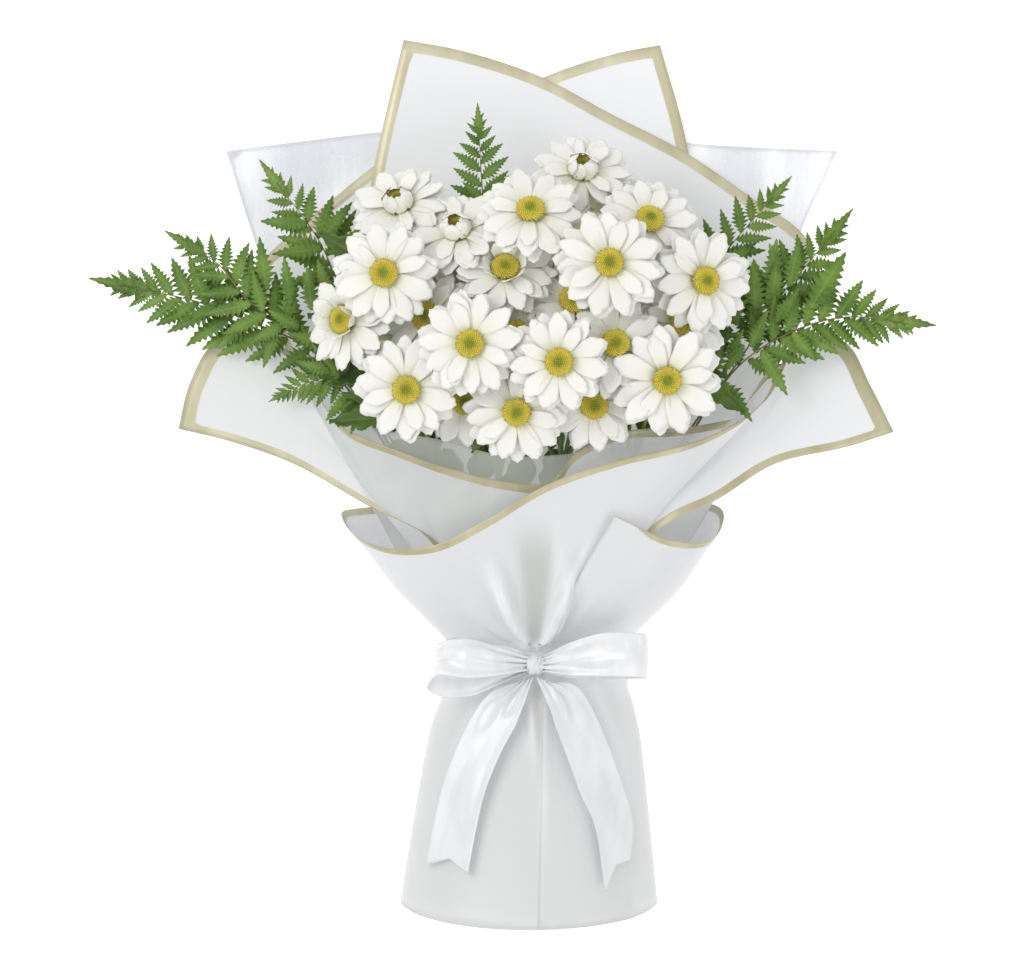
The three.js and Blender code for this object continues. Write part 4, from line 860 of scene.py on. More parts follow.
def skirt_front(x, y):
    """Height of the front of the skirt under a point of the plan."""
    s = min(max((y - NECK_BOTTOM) / (HEM_Y - NECK_BOTTOM), 0), 1)
    half_width, height = skirt_size(s, FLAP)
    across = (x - (NECK_X + (HEM_X - NECK_X) * s)) / half_width
    return height + (height - FLAP) * math.sqrt(max(0, 1 - across * across))


def laid(stations):
    """Gives the plan of a tail its height on the skirt."""
    lines = []
    for (x, y), (hx, hy) in stations:
        height = max(skirt_front(x, y), TAIL_FLOOR) + TAIL_CLEARANCE
        slope = (skirt_front(x + hx, y + hy) - skirt_front(x - hx, y - hy)) / 2
        lines.append(((x, y, height), (hx, hy, slope)))
    return lines


# %% [markdown]
# Ribbon that is pinched into a knot can't get narrower, so its spare width stands up in folds. The
# fold height here grows as the strip's stations narrow. A dent is a soft hollow pressed into a loop.


# %% A ribbon strip
STRIP_ACROSS, STATION_STEPS = 24, 12
NOTCH_FROM = 0.94  # the share of a tail's length at which its swallow tail starts


def ribbon_piece(name, node, stations, folds, held, notch, dents):
    """A strip along the stations, folded where it is narrow; dents are (t, u, reach, half width, depth)."""
    middles = through([s[0] for s in stations], STATION_STEPS)
    halves = through([s[1] for s in stations], STATION_STEPS)
    steps = len(middles) - 1

    def place(u, t):
        i = min(round(t * steps), steps)
        before, after = middles[max(i - 1, 0)], middles[min(i + 1, steps)]
        along = Vector(after - before).normalized()
        normal = Vector(halves[i]).cross(along).normalized()
        narrow = 1 - min(np.linalg.norm(halves[i]) / FULL_HALF_WIDTH, 1)
        fold = math.sin(3.6 * math.pi * u + 1.4 * t) + 0.5 * math.sin(6.1 * math.pi * u + 2.5 * t)
        lift = folds * (0.05 + 2.0 * narrow) * fold - 0.9 * u * u
        for at, beside, reach, half_width, depth in dents:
            off = ((t - at) / reach) ** 2 + ((u - beside) / half_width) ** 2
            lift -= depth * math.exp(-(off**2))
        point = Vector(middles[i] + u * halves[i]) + normal * lift
        if notch:
            point -= along * notch * (1 - abs(u)) * max(0, (t - NOTCH_FROM) / 0.06)
        return point * MM

    mesh = grid_mesh(name, STRIP_ACROSS, steps, place)
    # folded loops take the satin painted lighter
    look = loop_satin_painted_lighter if held == "folded" else satin
    piece = finished(mesh, name, look, [node])
    thicken(piece, RIBBON_THICKNESS, 0)


# %% Two loops and two tails with their dents
LOOP_FOLDS, TAIL_FOLDS = 1.1, 0.6
LEFT_LOOP_DENTS = [(0.79, 0.2, 0.11, 0.56, 4.6), (0.6, -0.5, 0.06, 0.4, 1.6)]
RIGHT_LOOP_DENTS = [(0.8, 0.05, 0.105, 0.6, 5.0), (0.63, 0.4, 0.04, 0.5, 1.4)]
LEFT_TAIL_DENTS = [(0.2, 0.35, 0.1, 0.25, 1.6), (0.34, -0.4, 0.12, 0.3, 1.2), (0.7, 0.2, 0.12, 0.5, 0.8)]
RIGHT_TAIL_DENTS = [(0.2, -0.3, 0.1, 0.25, 1.6), (0.36, 0.4, 0.12, 0.3, 1.2), (0.72, -0.2, 0.12, 0.5, 0.8)]
for side, stations, dents in (("left", LOOP_LEFT, LEFT_LOOP_DENTS), ("right", LOOP_RIGHT, RIGHT_LOOP_DENTS)):
    ribbon_piece(f"bow_loop_{side}", f"ribbon_loop_{side}", stations, LOOP_FOLDS, "folded", 0, dents)
for side, plan, dents in (("left", TAIL_LEFT, LEFT_TAIL_DENTS), ("right", TAIL_RIGHT, RIGHT_TAIL_DENTS)):
    ribbon_piece(f"bow_tail_{side}", f"ribbon_tail_{side}", laid(plan), TAIL_FOLDS, "laid", TAIL_NOTCH, dents)


# %% Band and knot
BAND_HALF_WIDTH, BAND_GATHERED, BAND_CLEARANCE = 10, 5.2, 3.4
BAND_ACROSS, BAND_ROUND = 16, 160
KNOT_ANGLE = math.pi / 2


def band_place(u, t):
    """Round the neck once: the band is gathered to half its width at the knot."""
    angle = t * 2 * math.pi
    near_knot = math.exp(-(((angle - KNOT_ANGLE) / 0.32) ** 2))
    half_width = BAND_HALF_WIDTH + (BAND_GATHERED - BAND_HALF_WIDTH) * near_knot
    wobble = 0.3 * math.sin(7 * u + 3 * math.sin(angle * 5)) + 0.5 * near_knot * math.sin(13 * u)
    growth = BAND_CLEARANCE + wobble - 1.0 * abs(u) ** 3
    x = NECK_X + (NECK_HALF_WIDTH + growth) * math.cos(angle)
    y = TIE_Y + half_width * u
    z = NECK_Z + (NECK_HALF_HEIGHT + growth) * math.sin(angle)
    return Vector((drawn_in(x, y), y, max(z, 0))) * MM


band_bm = bmesh.new()
band_bm.from_mesh(grid_mesh("band", BAND_ACROSS, BAND_ROUND, band_place))
bmesh.ops.remove_doubles(band_bm, verts=band_bm.verts[:], dist=0.01 * MM)
bmesh.ops.recalc_face_normals(band_bm, faces=band_bm.faces[:])
band_piece = finished(band_bm, "bow_band", satin, ["ribbon_band"])
thicken(band_piece, RIBBON_THICKNESS, -1)

KNOT = Vector((12.8, -103, 82)) * MM
KNOT_HALF = (6.8, 5.8, 5.6)
knot_bm = bmesh.new()
knot_bm.loops.layers.uv.new("UVMap")
bmesh.ops.create_uvsphere(knot_bm, u_segments=64, v_segments=32, radius=1)
for v in knot_bm.verts:
    x, y, z = v.co
    fold = 1 + 0.07 * math.sin(9 * x + 2 * y) + 0.05 * math.sin(19 * x - 3 * y)
    square = (abs(x) ** 3 + abs(y) ** 3 + abs(z) ** 3) ** (-1 / 3)
    waist = 1 - 0.12 * (1 - y * y)
    spread = (0.5 + 0.5 * square) * fold * MM
    v.co = Vector((x * KNOT_HALF[0] * waist, y * KNOT_HALF[1], z * KNOT_HALF[2])) * spread + KNOT
finished(knot_bm, "bow_knot", satin, ["ribbon_knot"])

# %% [markdown]
# ## Green
# Fern fronds fan out at both sides. A frond is a rib with toothed leaflets in pairs, longest near its
# base, which end in one last leaflet. Each leaflet is a thin blade folded a little along its vein.
# The daisies' own lobed leaves fill the dark gaps under the blooms.


# %% Leaf materials
def leaf_material(name, dark, light, roughness):
    """Patchy green with a pale vein along the middle."""
    material = new_material(name, Roughness=roughness, Specular_IOR_Level=0.3)
    body = ramp(material, fine_noise(material, 60, detail=4), [(0.3, dark), (0.72, light)])
    across = uv_part(material, "X")
    off_vein = add_node(material, "ShaderNodeMath", {0: across, 1: 0.5}, operation="SUBTRACT").outputs[0]
    off_vein = add_node(material, "ShaderNodeMath", {0: off_vein}, operation="ABSOLUTE").outputs[0]
    vein = remap(material, off_vein, 0.0, 0.07, 0.25, 0.0)
    pale = tuple(min(1, c * 1.5 + 0.03) for c in light)
    plug(material, blend_colours(material, vein, body, pale), "Base Color")
    bump(material, fine_noise(material, 900, detail=2), 0.15 * MM, 0.4)
    return material


def stalk_material(name, scale, squeeze, dark, light):
    """Two tones in long streaks."""
    material = new_material(name, Roughness=0.5)
    streaks = fine_noise(material, scale, (1, squeeze, 1))
    plug(material, ramp(material, streaks, [(0.3, dark), (0.7, light)]), "Base Color")
    return material


fern_material = leaf_material("fern", (0.08, 0.165, 0.021), (0.195, 0.315, 0.056), 0.5)
leaf_green = leaf_material("daisy_leaf", (0.045, 0.1, 0.014), (0.12, 0.2, 0.035), 0.42)
stem_material = stalk_material("stem", 120, 0.2, (0.13, 0.19, 0.05), (0.25, 0.32, 0.1))
rib_material = stalk_material("fern_rib", 90, 0.3, (0.13, 0.10, 0.035), (0.26, 0.27, 0.09))

# %% [markdown]
# A leatherleaf frond is cut twice: the side blades that spring from its rib have teeth of their own,
# which lean towards the tip. A blade here is a strip two faces wide, whose edge steps out and in from
# row to row, so a whole side blade needs only a few dozen faces.


# %% A comb-toothed blade
TOOTH_LEAN = 0.48
FULLEST = 0.28


def toothed(width, teeth, depth, arch, fold=0.14):
    """A side blade of length 1 along Y: broad low down, pointed, its odd rows the tips of its teeth."""

    def place(u, t):
        tip_row = round(t * 2 * teeth) % 2
        past = max(0, (t - FULLEST) / (1 - FULLEST))
        profile = max((1 - past) ** 0.86 * min(1, 0.3 + 0.7 * t / FULLEST), 0.02)
        cut = depth * (1 - 0.5 * t)
        half = width / 2 * profile * (1 if tip_row else 1 - cut)
        y = t + TOOTH_LEAN / teeth * tip_row * abs(u) * (1 - t)
        z = width * fold * (abs(u) - 0.5) * profile - arch * (t - 0.4) ** 2
        return Vector((half * u, y, z))

    return place


def blade_meshes(width, teeth, depth):
    """Three blades of a kind, arched differently."""
    return [
        grid_mesh("blade", 2, 2 * teeth, toothed(width * w, teeth, depth, arch), thickness=0.012)
        for w, arch in ((1, 0.22), (0.92, 0.06), (1.06, 0.34))
    ]


combs = blade_meshes(0.52, 9, 0.66)
leaflets = blade_meshes(0.5, 7, 0.5)
tiny_leaflets = blade_meshes(0.48, 5, 0.4)
tip_blade = blade_meshes(0.36, 9, 0.5)[1]
print("faces of a comb and a leaflet", len(combs[0].polygons), len(leaflets[0].polygons))


LONG_BLADE, SHORT_BLADE = 15, 7  # mm


def blade_for(length, draw):
    """The longer a side blade is, the more teeth it has."""
    kind = combs if length > LONG_BLADE else leaflets if length > SHORT_BLADE else tiny_leaflets
    return draw.choice(kind)


# %% Fronds, in mm
# For each: the blade's spine, the stipe, the number of side blades on each side, the longest of them,
# and the broad low blades that fill the fan, as foot and tip.
FERNS = {
    "fern_left_main": (
        [(-114, 76, 70), (-146.2, 91.2, 72), (-182, 104.5, 68), (-242.5, 116.9, 58)],
        [(-80, 34, 53), (-46, -30, 44), (-20, -101, 40), (-23, -214, 12)],
        12, 34,
        [
            ((-134, 89, 76), (-142, 66, 72)), ((-150, 95, 76), (-168, 77, 70)),
            ((-168, 103, 74), (-186, 91, 68)), ((-112, 76, 80), (-132, 98, 82)),
            ((-121, 88, 84), (-139, 99, 86)), ((-104, 78, 86), (-128, 86, 88)),
        ],
    ),
    "fern_left_upper": (
        [(-128, 90, 78), (-150, 104, 79), (-168.4, 126, 76), (-199.8, 142.5, 68)],
        [(-86, 47, 65), (-47, -25, 50), (-19, -101, 47), (-18, -211, 12)],
        9, 28,
        [
            ((-130, 92, 82), (-122, 118, 84)), ((-142, 98, 82), (-148, 122, 82)),
            ((-140, 110, 80), (-144, 141, 78)), ((-126, 102, 84), (-130, 130, 82)),
            ((-114, 99, 86), (-117, 124, 84)),
        ],
    ),
    "fern_left_top": (
        [(-98, 112, 66), (-109.7, 138, 70), (-127.4, 163, 68), (-145.1, 184.7, 62)],
        [(-68, 50, 55), (-38, -20, 42), (-12, -101, 27), (-8, -212, 12)],
        8, 30,
        [
            ((-117, 148, 72), (-144, 150, 70)), ((-108, 134, 72), (-137, 131, 74)),
            ((-100, 122, 72), (-128, 113, 78)), ((-108, 140, 74), (-91, 161, 72)),
            ((-104, 131, 74), (-86, 146, 76)), ((-104, 105, 80), (-111, 128, 80)),
        ],
    ),
    "fern_left_low": (
        [(-96, 60, 84), (-118, 57, 84), (-139, 46.2, 78)],
        [(-66, 20, 68), (-44, -30, 56), (-16, -101, 52), (-13, -215, 12)],
        9, 21,
        [
            ((-98, 60, 88), (-114, 80, 90)), ((-92, 52, 88), (-106, 36, 90)),
            ((-84, 46, 88), (-92, 28, 92)), ((-104, 64, 90), (-124, 70, 88)),
        ],
    ),
    "fern_top": (
        [(-15, 150, 66), (-17.4, 173.9, 68), (-18.5, 195, 65), (-19.7, 217.7, 58)],
        [(-6, 80, 48), (4, 0, 33), (11, -101, 22), (12.5, -216, 12)],
        8, 21,
        [
            ((-12, 158, 70), (-28, 172, 72)), ((-14, 160, 70), (-2, 176, 72)),
        ],
    ),
    "fern_right_top": (
        [(112, 118, 66), (127.4, 139, 70), (140.5, 153.9, 69), (160, 176, 62)],
        [(84, 50, 55), (60, -20, 42), (42, -101, 28), (37, -211, 14)],
        8, 25,
        [
            ((118, 124, 72), (140, 138, 72)), ((114, 118, 72), (122, 146, 74)),
            ((108, 104, 74), (132, 112, 80)),
        ],
    ),
    "fern_right_upper": (
        [(135.4, 79, 74), (150, 103, 78), (170, 127, 76), (194.7, 157.3, 66)],
        [(96, 22, 50), (62, -35, 41), (46, -101, 37), (46, -210, 15)],
        10, 30,
        [
            ((147, 98, 82), (152, 130, 80)), ((138, 84, 82), (140, 116, 82)),
            ((158, 112, 82), (164, 139, 78)), ((170, 100, 84), (191, 133, 76)),
            ((147, 110, 80), (151, 140, 78)), ((139, 99, 84), (137, 127, 82)),
            ((128, 90, 84), (124, 112, 84)),
        ],
    ),
    "fern_right_main": (
        [(128, 66, 86), (155.9, 85, 86), (190, 95, 78), (242.5, 88.4, 62)],
        [(94, 14, 56), (60, -42, 47), (42, -101, 46), (41.5, -214, 15)],
        12, 28,
        [
            ((160, 86, 90), (174, 69, 84)), ((142, 76, 92), (157, 50, 86)),
            ((120, 58, 92), (137, 35, 88)), ((112, 60, 88), (124, 88, 88)),
            ((132, 79, 90), (119, 62, 88)), ((150, 92, 88), (164, 112, 86)),
            ((136, 78, 90), (146, 100, 88)), ((122, 72, 90), (132, 88, 90)),
        ],
    ),
}

# %% A frond: its rib as a line of steps, and the step from which one last blade takes over
RIB_STEPS, TIP_START = 80, 54
RIB_START = 0.04  # the share of the whole rib that the last blade hides
RIB_RADII = [0.25 * MM, 0.6 * MM, 1.0 * MM, 1.2 * MM, 1.2 * MM]


def build_frond(name, spine, stipe, pairs, longest, low_blades, draw):
    """Side blades swing forward along the rib, and shorten in a straight line to the tip."""
    blade = evenly(through(spine), np.linspace(0, 1, RIB_STEPS)) * MM
    whole_length = np.linalg.norm(np.diff(blade, axis=0), axis=1).sum() / MM
    frames = travel(blade)
    bm = bmesh.new()
    bm.loops.layers.uv.new("UVMap")
    for i in range(pairs * 2):
        hand = 1 if i % 2 else -1
        share = (i + 0.5) / (pairs * 2)
        place = 0.86 * (1 - (1 - share) ** 1.3)
        seat = frames[int(place * (RIB_STEPS - 1))]
        full = min(longest, 0.42 * (1 - place) * whole_length + 2)
        length = full * (0.72 + 0.28 * min(1, place / 0.16)) * draw.uniform(0.9, 1.06)
        swing = math.radians(60 - 24 * share + draw.uniform(-4, 4))
        turn = Matrix.Rotation(-hand * swing, 4, "Z")
        roll = Matrix.Rotation(hand * math.radians(draw.uniform(-18, 8)), 4, "Y")
        dip = Matrix.Rotation(math.radians(draw.uniform(-10, 4)), 4, "X")
        stamp(bm, blade_for(length, draw), seat @ turn @ dip @ roll @ Matrix.Scale(length * MM, 4))
    tip_length = np.linalg.norm(blade[-1] - blade[TIP_START])
    stamp(bm, tip_blade, frames[TIP_START] @ Matrix.Scale(tip_length, 4))
    for ends in low_blades:
        line = np.array(ends, float) * MM
        size = np.linalg.norm(line[1] - line[0])
        stamp(bm, draw.choice(combs), travel(line)[0] @ Matrix.Scale(size, 4))
    finished(bm, name + "_leaflets", fern_material, [name])
    rib = bmesh.new()
    whole = through([*(np.array(spine[::-1])), *stipe], 10) * MM
    line = evenly(whole, np.linspace(RIB_START, 1, 60))
    tube(rib, line, RIB_RADII, 6)
    finished(rib, name + "_rib", rib_material, [name])


draw = random.Random(41)
for name, frond in FERNS.items():
    build_frond(name, *frond, draw)

# %% [markdown]
# ## Blooms
# A daisy's head is two things: rays, which are the white petals, and a disc of hundreds of tiny
# florets. The rays stand in two or three rows, each petal grooved along its length and rounded at the
# tip. The florets follow the golden angle, which is how they grow.

# %% Where the blooms are: centre in mm and lean as slopes
BLOOMS = [
    ((-23.7, 79.2, 148), (-0.05, 0.02)),
    ((26.5, 69, 150), (0, -0.04)),
    ((2.6, 41, 130), (0, -0.14)),
    ((87.5, 58.7, 132), (0.12, -0.06)),
    ((-59.6, 53.6, 131), (-0.1, -0.1)),
    ((-72.1, 119.1, 133), (-0.14, 0.06)),
    ((55, 124.8, 146), (0.04, 0.1)),
    ((10.5, 153.9, 130), (0, 0.6)),
    ((58.4, 78.7, 131), (0.08, 0.25)),
    ((108.6, 115.1, 122), (0.42, 0.02)),
    ((-94.3, 92.9, 113), (-0.75, 0.15)),
    ((46.5, 45.5, 116), (0.05, -0.2)),
    ((77.8, 148.8, 116), (0.2, 0.55)),
    ((2, 84, 126), (0, 0.3)),
    ((-3.7, 121, 124), (0, 0.6)),
    ((34.5, 103.7, 121), (0.1, 0.3)),
    ((-31, 143.6, 112), (-0.25, 0.8)),
    ((-26.5, 48, 108), (-0.1, -0.2)),
    ((-48, 95, 114), (-0.3, 0.1)),
    ((96, 92, 108), (0.3, 0.1)),
    ((40.2, 178, 92), (0.1, 0.8)),
    ((-64.1, 159, 92), (-0.3, 0.8)),
]
WITH_DISC_NODE = 13  # the first blooms have a solid of their own for the disc
BLOOM_SIZES = [1.0, 0.97, 1.0, 1.08, 1.02, 1.02, 1.05, 1.0, 1.0, 1.02, 0.98]
OTHER_SIZE = 0.96  # of the blooms further back and of the deep heads
BLOOM_RADIUS, ROOT_RADIUS = 30.5, 4.6
DISC_RADIUS, DISC_HEIGHT, DISC_BASE = 7.7, 3.4, 2.0
RAY_ROWS = [
    {"count": 12, "height": -2.4, "pitch": 1, "curl": -14, "reach": 1.0, "width": 12.8, "root": ROOT_RADIUS},
    {"count": 11, "height": -0.6, "pitch": 8, "curl": -18, "reach": 0.97, "width": 12.4, "root": ROOT_RADIUS},
    {"count": 3, "height": 0.6, "pitch": 16, "curl": -24, "reach": 0.8, "width": 10, "root": ROOT_RADIUS},
]
STANDING_ROW = {"count": 7, "height": 1.6, "pitch": 84, "curl": -30, "reach": 0.66, "width": 9, "root": 8.2}
FOLDED_ROW = {"count": 8, "height": 1.6, "pitch": 84, "curl": 66, "reach": 0.66, "width": 10, "root": 8.6}
# Blooms, counted from 0, whose inner petals still stand up or are folded over the disc
HALF_OPEN = {10: [STANDING_ROW], 14: [STANDING_ROW], 16: [FOLDED_ROW], 20: [FOLDED_ROW], 21: [FOLDED_ROW]}


def bloom_frame(centre, lean, turn):
    """The place of a head, whose Z faces the way it leans."""
    facing = Vector((lean[0], lean[1], 1)).normalized()
    tilt = UP.rotation_difference(facing).to_matrix().to_4x4()
    return Matrix.Translation(Vector(centre) * MM) @ tilt @ Matrix.Rotation(turn, 4, "Z")


# %% One petal
PETAL_WIDTHS = ([0, 0.15, 0.4, 0.7, 0.88, 1], [0.4, 0.58, 0.84, 1.0, 0.96, 0.72])
PETAL_ACROSS, PETAL_ALONG = 6, 7


def petal_place(length, width, height, pitch, curl, twist, notch, root):
    """Where a petal's points go: along X from the disc, bent as it goes, grooved and cupped."""

    def place(u, t):
        t = 1 - (1 - t) ** 1.25
        half = width / 2 * np.interp(t, *PETAL_WIDTHS)
        run = length * (t - 0.2 * abs(u) ** 2.4 * t**4) + notch * math.cos(3 * math.pi * u) * t**6
        start, turn = math.radians(pitch), math.radians(curl)
        bend = start + turn * t
        x = root + run * math.cos(start + 0.5 * turn * t)
        z = height + run * math.sin(start + 0.5 * turn * t)
        grooves = -0.42 * (math.exp(-(((abs(u) - 0.42) / 0.17) ** 2))) * math.sin(math.pi * min(t * 1.1, 1))
        cup = 0.11 * half * u * u * (1 - 0.6 * t)
        side = half * u
        roll = twist * t
        lift = grooves + cup + side * math.sin(roll)
        return Vector((x - lift * math.sin(bend), side * math.cos(roll), z + lift * math.cos(bend))) * MM

    return place


def petal_mesh(form):
    return grid_mesh("petal", PETAL_ACROSS, PETAL_ALONG, petal_place(**form), thickness=0.3 * MM)


# %% [markdown]
# Petals of neighbouring blooms must not pass through each other. Each petal is tried as it would grow
# and then bent up or down by turns until it touches no petal of another bloom.

# %% Rays of a bloom
BENDS = (0, 5, -5, 10, -10, 16, -16, 24, -24)


def touches(mesh, others):
    """How many faces of a petal cut into the heads that have grown."""
    bm = bmesh.new()
    bm.from_mesh(mesh)
    tree = BVHTree.FromBMesh(bm)
    bm.free()
    return sum(len(tree.overlap(other)) for other in others)


def build_rays(frame_matrix, size, near, draw, rows):
    """All petals of a head in rows, each bent to keep clear of the heads near it."""
    bm = bmesh.new()
    bm.loops.layers.uv.new("UVMap")
    for level, row in enumerate(rows):
        for i in range(row["count"]):
            turn = 2 * math.pi * (i + 0.5 * level + draw.uniform(-0.16, 0.16)) / row["count"]
            form = {
                "length": (size * BLOOM_RADIUS * row["reach"] - row["root"]) * draw.uniform(0.94, 1.03),
                "width": size * row["width"] * draw.uniform(0.88, 1.06),
                "height": row["height"],
                "pitch": row["pitch"] + draw.uniform(-5, 5),
                "curl": row["curl"] + draw.uniform(-10, 10),
                "twist": draw.uniform(-0.35, 0.35),
                "notch": draw.uniform(0.15, 0.55),
                "root": row["root"],
            }
            best = None
            for bend in BENDS:
                mesh = petal_mesh({**form, "pitch": form["pitch"] + bend})
                mesh.transform(frame_matrix @ Matrix.Rotation(turn, 4, "Z"))
                count = touches(mesh, near) if near else 0
                if best is None or count < best[0]:
                    best = (count, mesh)
                if count == 0:
                    break
            bm.from_mesh(best[1])
    return bm


# %% Ray material: greenish at the root, then white; the heads deep in the bunch get darker, creamier petals as painted shade
def ray_material(name, root, low, tip):
    """A petal that light soaks into, with fine grooves along it."""
    material = new_material(
        name,
        Roughness=0.5,
        Subsurface_Weight=0.1,
        Subsurface_Radius=(1.0, 0.95, 0.8),
        Subsurface_Scale=1.5 * MM,
        Sheen_Weight=0.08,
    )
    tone = ramp(material, uv_part(material, "Y"), [(0.0, root), (0.16, low), (0.42, tip)])
    plug(material, tone, "Base Color")
    bump(material, fine_noise(material, 7, (60, 2, 1), detail=3, source="UV"), 0.3 * MM, 0.5)
    return material


white_rays = ray_material("petal", (0.72, 0.73, 0.38), (0.88, 0.875, 0.72), (0.90, 0.90, 0.835))
# painted shade: the deep heads' petals are darker and creamier
deep_rays_painted_shade = ray_material("deep_petal_painted_shade", (0.62, 0.64, 0.33), (0.80, 0.79, 0.56), (0.86, 0.85, 0.70))


# %% Disc of florets
GOLDEN_ANGLE = 137.508
OUTER_FLORETS = 0.8  # the share of the radius past which the florets are open and taller


def disc_height(r):
    """Height of the dome at a share r of its radius: a rounded edge and a dimple."""
    return DISC_HEIGHT * (0.78 + 0.34 * math.sin(math.pi * min(r * 1.02, 1)) - 0.36 * r**6)


def disc_mesh(seed, florets=170):
    """Florets set by the golden angle on a dome; their UV carries the share of the radius."""
    draw = random.Random(seed)
    bud = bmesh.new()
    bud.loops.layers.uv.new("UVMap")
    bmesh.ops.create_icosphere(bud, subdivisions=1, radius=1)
    bud_mesh = to_mesh(bud, "floret")
    bm = bmesh.new()
    uv_layer = bm.loops.layers.uv.new("UVMap")
    bmesh.ops.create_uvsphere(bm, u_segments=24, v_segments=12, radius=1)
    for v in bm.verts:
        height = DISC_BASE + 1.5 + v.co.z * 1.4
        v.co = Vector((v.co.x * DISC_RADIUS * 0.95, v.co.y * DISC_RADIUS * 0.95, height)) * MM
    for i in range(florets):
        share = math.sqrt((i + 0.5) / florets)
        angle = i * math.radians(GOLDEN_ANGLE)
        r = DISC_RADIUS * share
        outer = share > OUTER_FLORETS
        size = (0.62 if not outer else 0.78) * (0.8 + 0.4 * share) * draw.uniform(0.9, 1.1)
        tall = size * (1.5 if outer else 1.1) * draw.uniform(0.85, 1.25)
        place = Vector((r * math.cos(angle), r * math.sin(angle), DISC_BASE + disc_height(share))) * MM
        outward = Matrix.Rotation(angle, 4, "Z") @ Matrix.Rotation(0.9 * share**3, 4, "Y")
        start = len(bm.faces)
        grown_size = Matrix.Diagonal((size * MM, size * MM, tall * MM, 1))
        stamp(bm, bud_mesh, Matrix.Translation(place) @ outward @ grown_size)
        bm.faces.ensure_lookup_table()
        tone = draw.random()
        for face in bm.faces[start:]:
            for loop in face.loops:
                loop[uv_layer].uv = (share, tone)
    return to_mesh(bm, "disc")


disc_meshes = [disc_mesh(seed) for seed in (1, 2, 3)]

floret_material = new_material("florets", Roughness=0.6, Subsurface_Weight=0.1, Subsurface_Scale=1 * MM)
FLORET_TONES = [
    (0.0, (0.24, 0.31, 0.03)),
    (0.3, (0.34, 0.37, 0.03)),
    (0.5, (0.62, 0.55, 0.045)),
    (0.82, (0.68, 0.56, 0.055)),
    (1.0, (0.44, 0.33, 0.035)),
]
floret_body = ramp(floret_material, uv_part(floret_material, "X"), FLORET_TONES)
floret_share = remap(floret_material, uv_part(floret_material, "Y"), 0.0, 1.0, 0.0, 0.3)
floret_tone = blend_colours(floret_material, floret_share, floret_body, (0.75, 0.66, 0.12))
plug(floret_material, floret_tone, "Base Color")


# %% Grow the blooms
grown = []


def open_head(centre, lean, size, rows, draw):
    """Petals of a head, set clear of all that have grown before; gives its place and its petals."""
    matrix = bloom_frame(centre, lean, draw.uniform(0, math.tau))
    reach = 2 * BLOOM_RADIUS * MM
    near = [tree for place, tree in grown if (place - matrix.translation).length < reach]
    rays = build_rays(matrix, size, near, draw, rows)
    grown.append((matrix.translation.copy(), BVHTree.FromBMesh(rays)))
    return matrix, rays


draw = random.Random(5)
heads = []
for index, (centre, lean) in enumerate(BLOOMS):
    number = f"{index + 1:02d}"
    size = BLOOM_SIZES[index] if index < len(BLOOM_SIZES) else OTHER_SIZE
    rows = [*RAY_ROWS, *HALF_OPEN.get(index, [])]
    matrix, rays = open_head(centre, lean, size, rows, draw)
    heads.append(matrix)
    finished(rays, f"daisy_{number}_rays", white_rays, [f"bloom_{number}_petals"])
    disc = disc_meshes[index % 3].copy()
    disc.transform(matrix)
    kind = "disc" if index < WITH_DISC_NODE else "petals"
    finished(disc, f"daisy_{number}_florets", floret_material, [f"bloom_{number}_{kind}"])

# %% [markdown]
# Deep in the bunch, petals of more heads fill the gaps. Only their petals show, so these heads have
# no disc, and they grow last, each petal bent clear of those above.

# %% Deep heads: centre in mm and lean
DEEP_HEADS = [
    ((-47, 130, 104), (-0.2, 0.3)),
    ((18, 105, 104), (0, 0.2)),
    ((73, 99, 102), (0.1, 0.1)),
    ((-10, 106, 102), (0, 0.1)),
    ((-62, 88, 102), (-0.2, 0)),
    ((72, 78, 104), (0.1, 0)),
    ((24, 56, 98), (0, -0.15)),
    ((-40, 54, 98), (-0.1, -0.15)),
    ((56, 153, 82), (0.1, 0.4)),
    ((26, 142, 106), (0, 0.4)),
    ((66, 62, 98), (0.1, -0.15)),
    ((-58, 140, 98), (-0.3, 0.5)),
]
draw = random.Random(77)
for index, (centre, lean) in enumerate(DEEP_HEADS):
    matrix, rays = open_head(centre, lean, OTHER_SIZE, RAY_ROWS, draw)
    above = min(range(len(BLOOMS)), key=lambda i: (Vector(BLOOMS[i][0]) - Vector(centre)).length)
    finished(rays, f"deep_head_{index + 1:02d}_rays", deep_rays_painted_shade, [f"bloom_{above + 1:02d}_petals"])

# %% [markdown]
# ## Sprays
# The daisies grow on four branching sprays. A main stem comes up through the tie and forks, and each
# branch ends in a cup of small green scales that holds the bloom. The leaves are lobed and toothed.

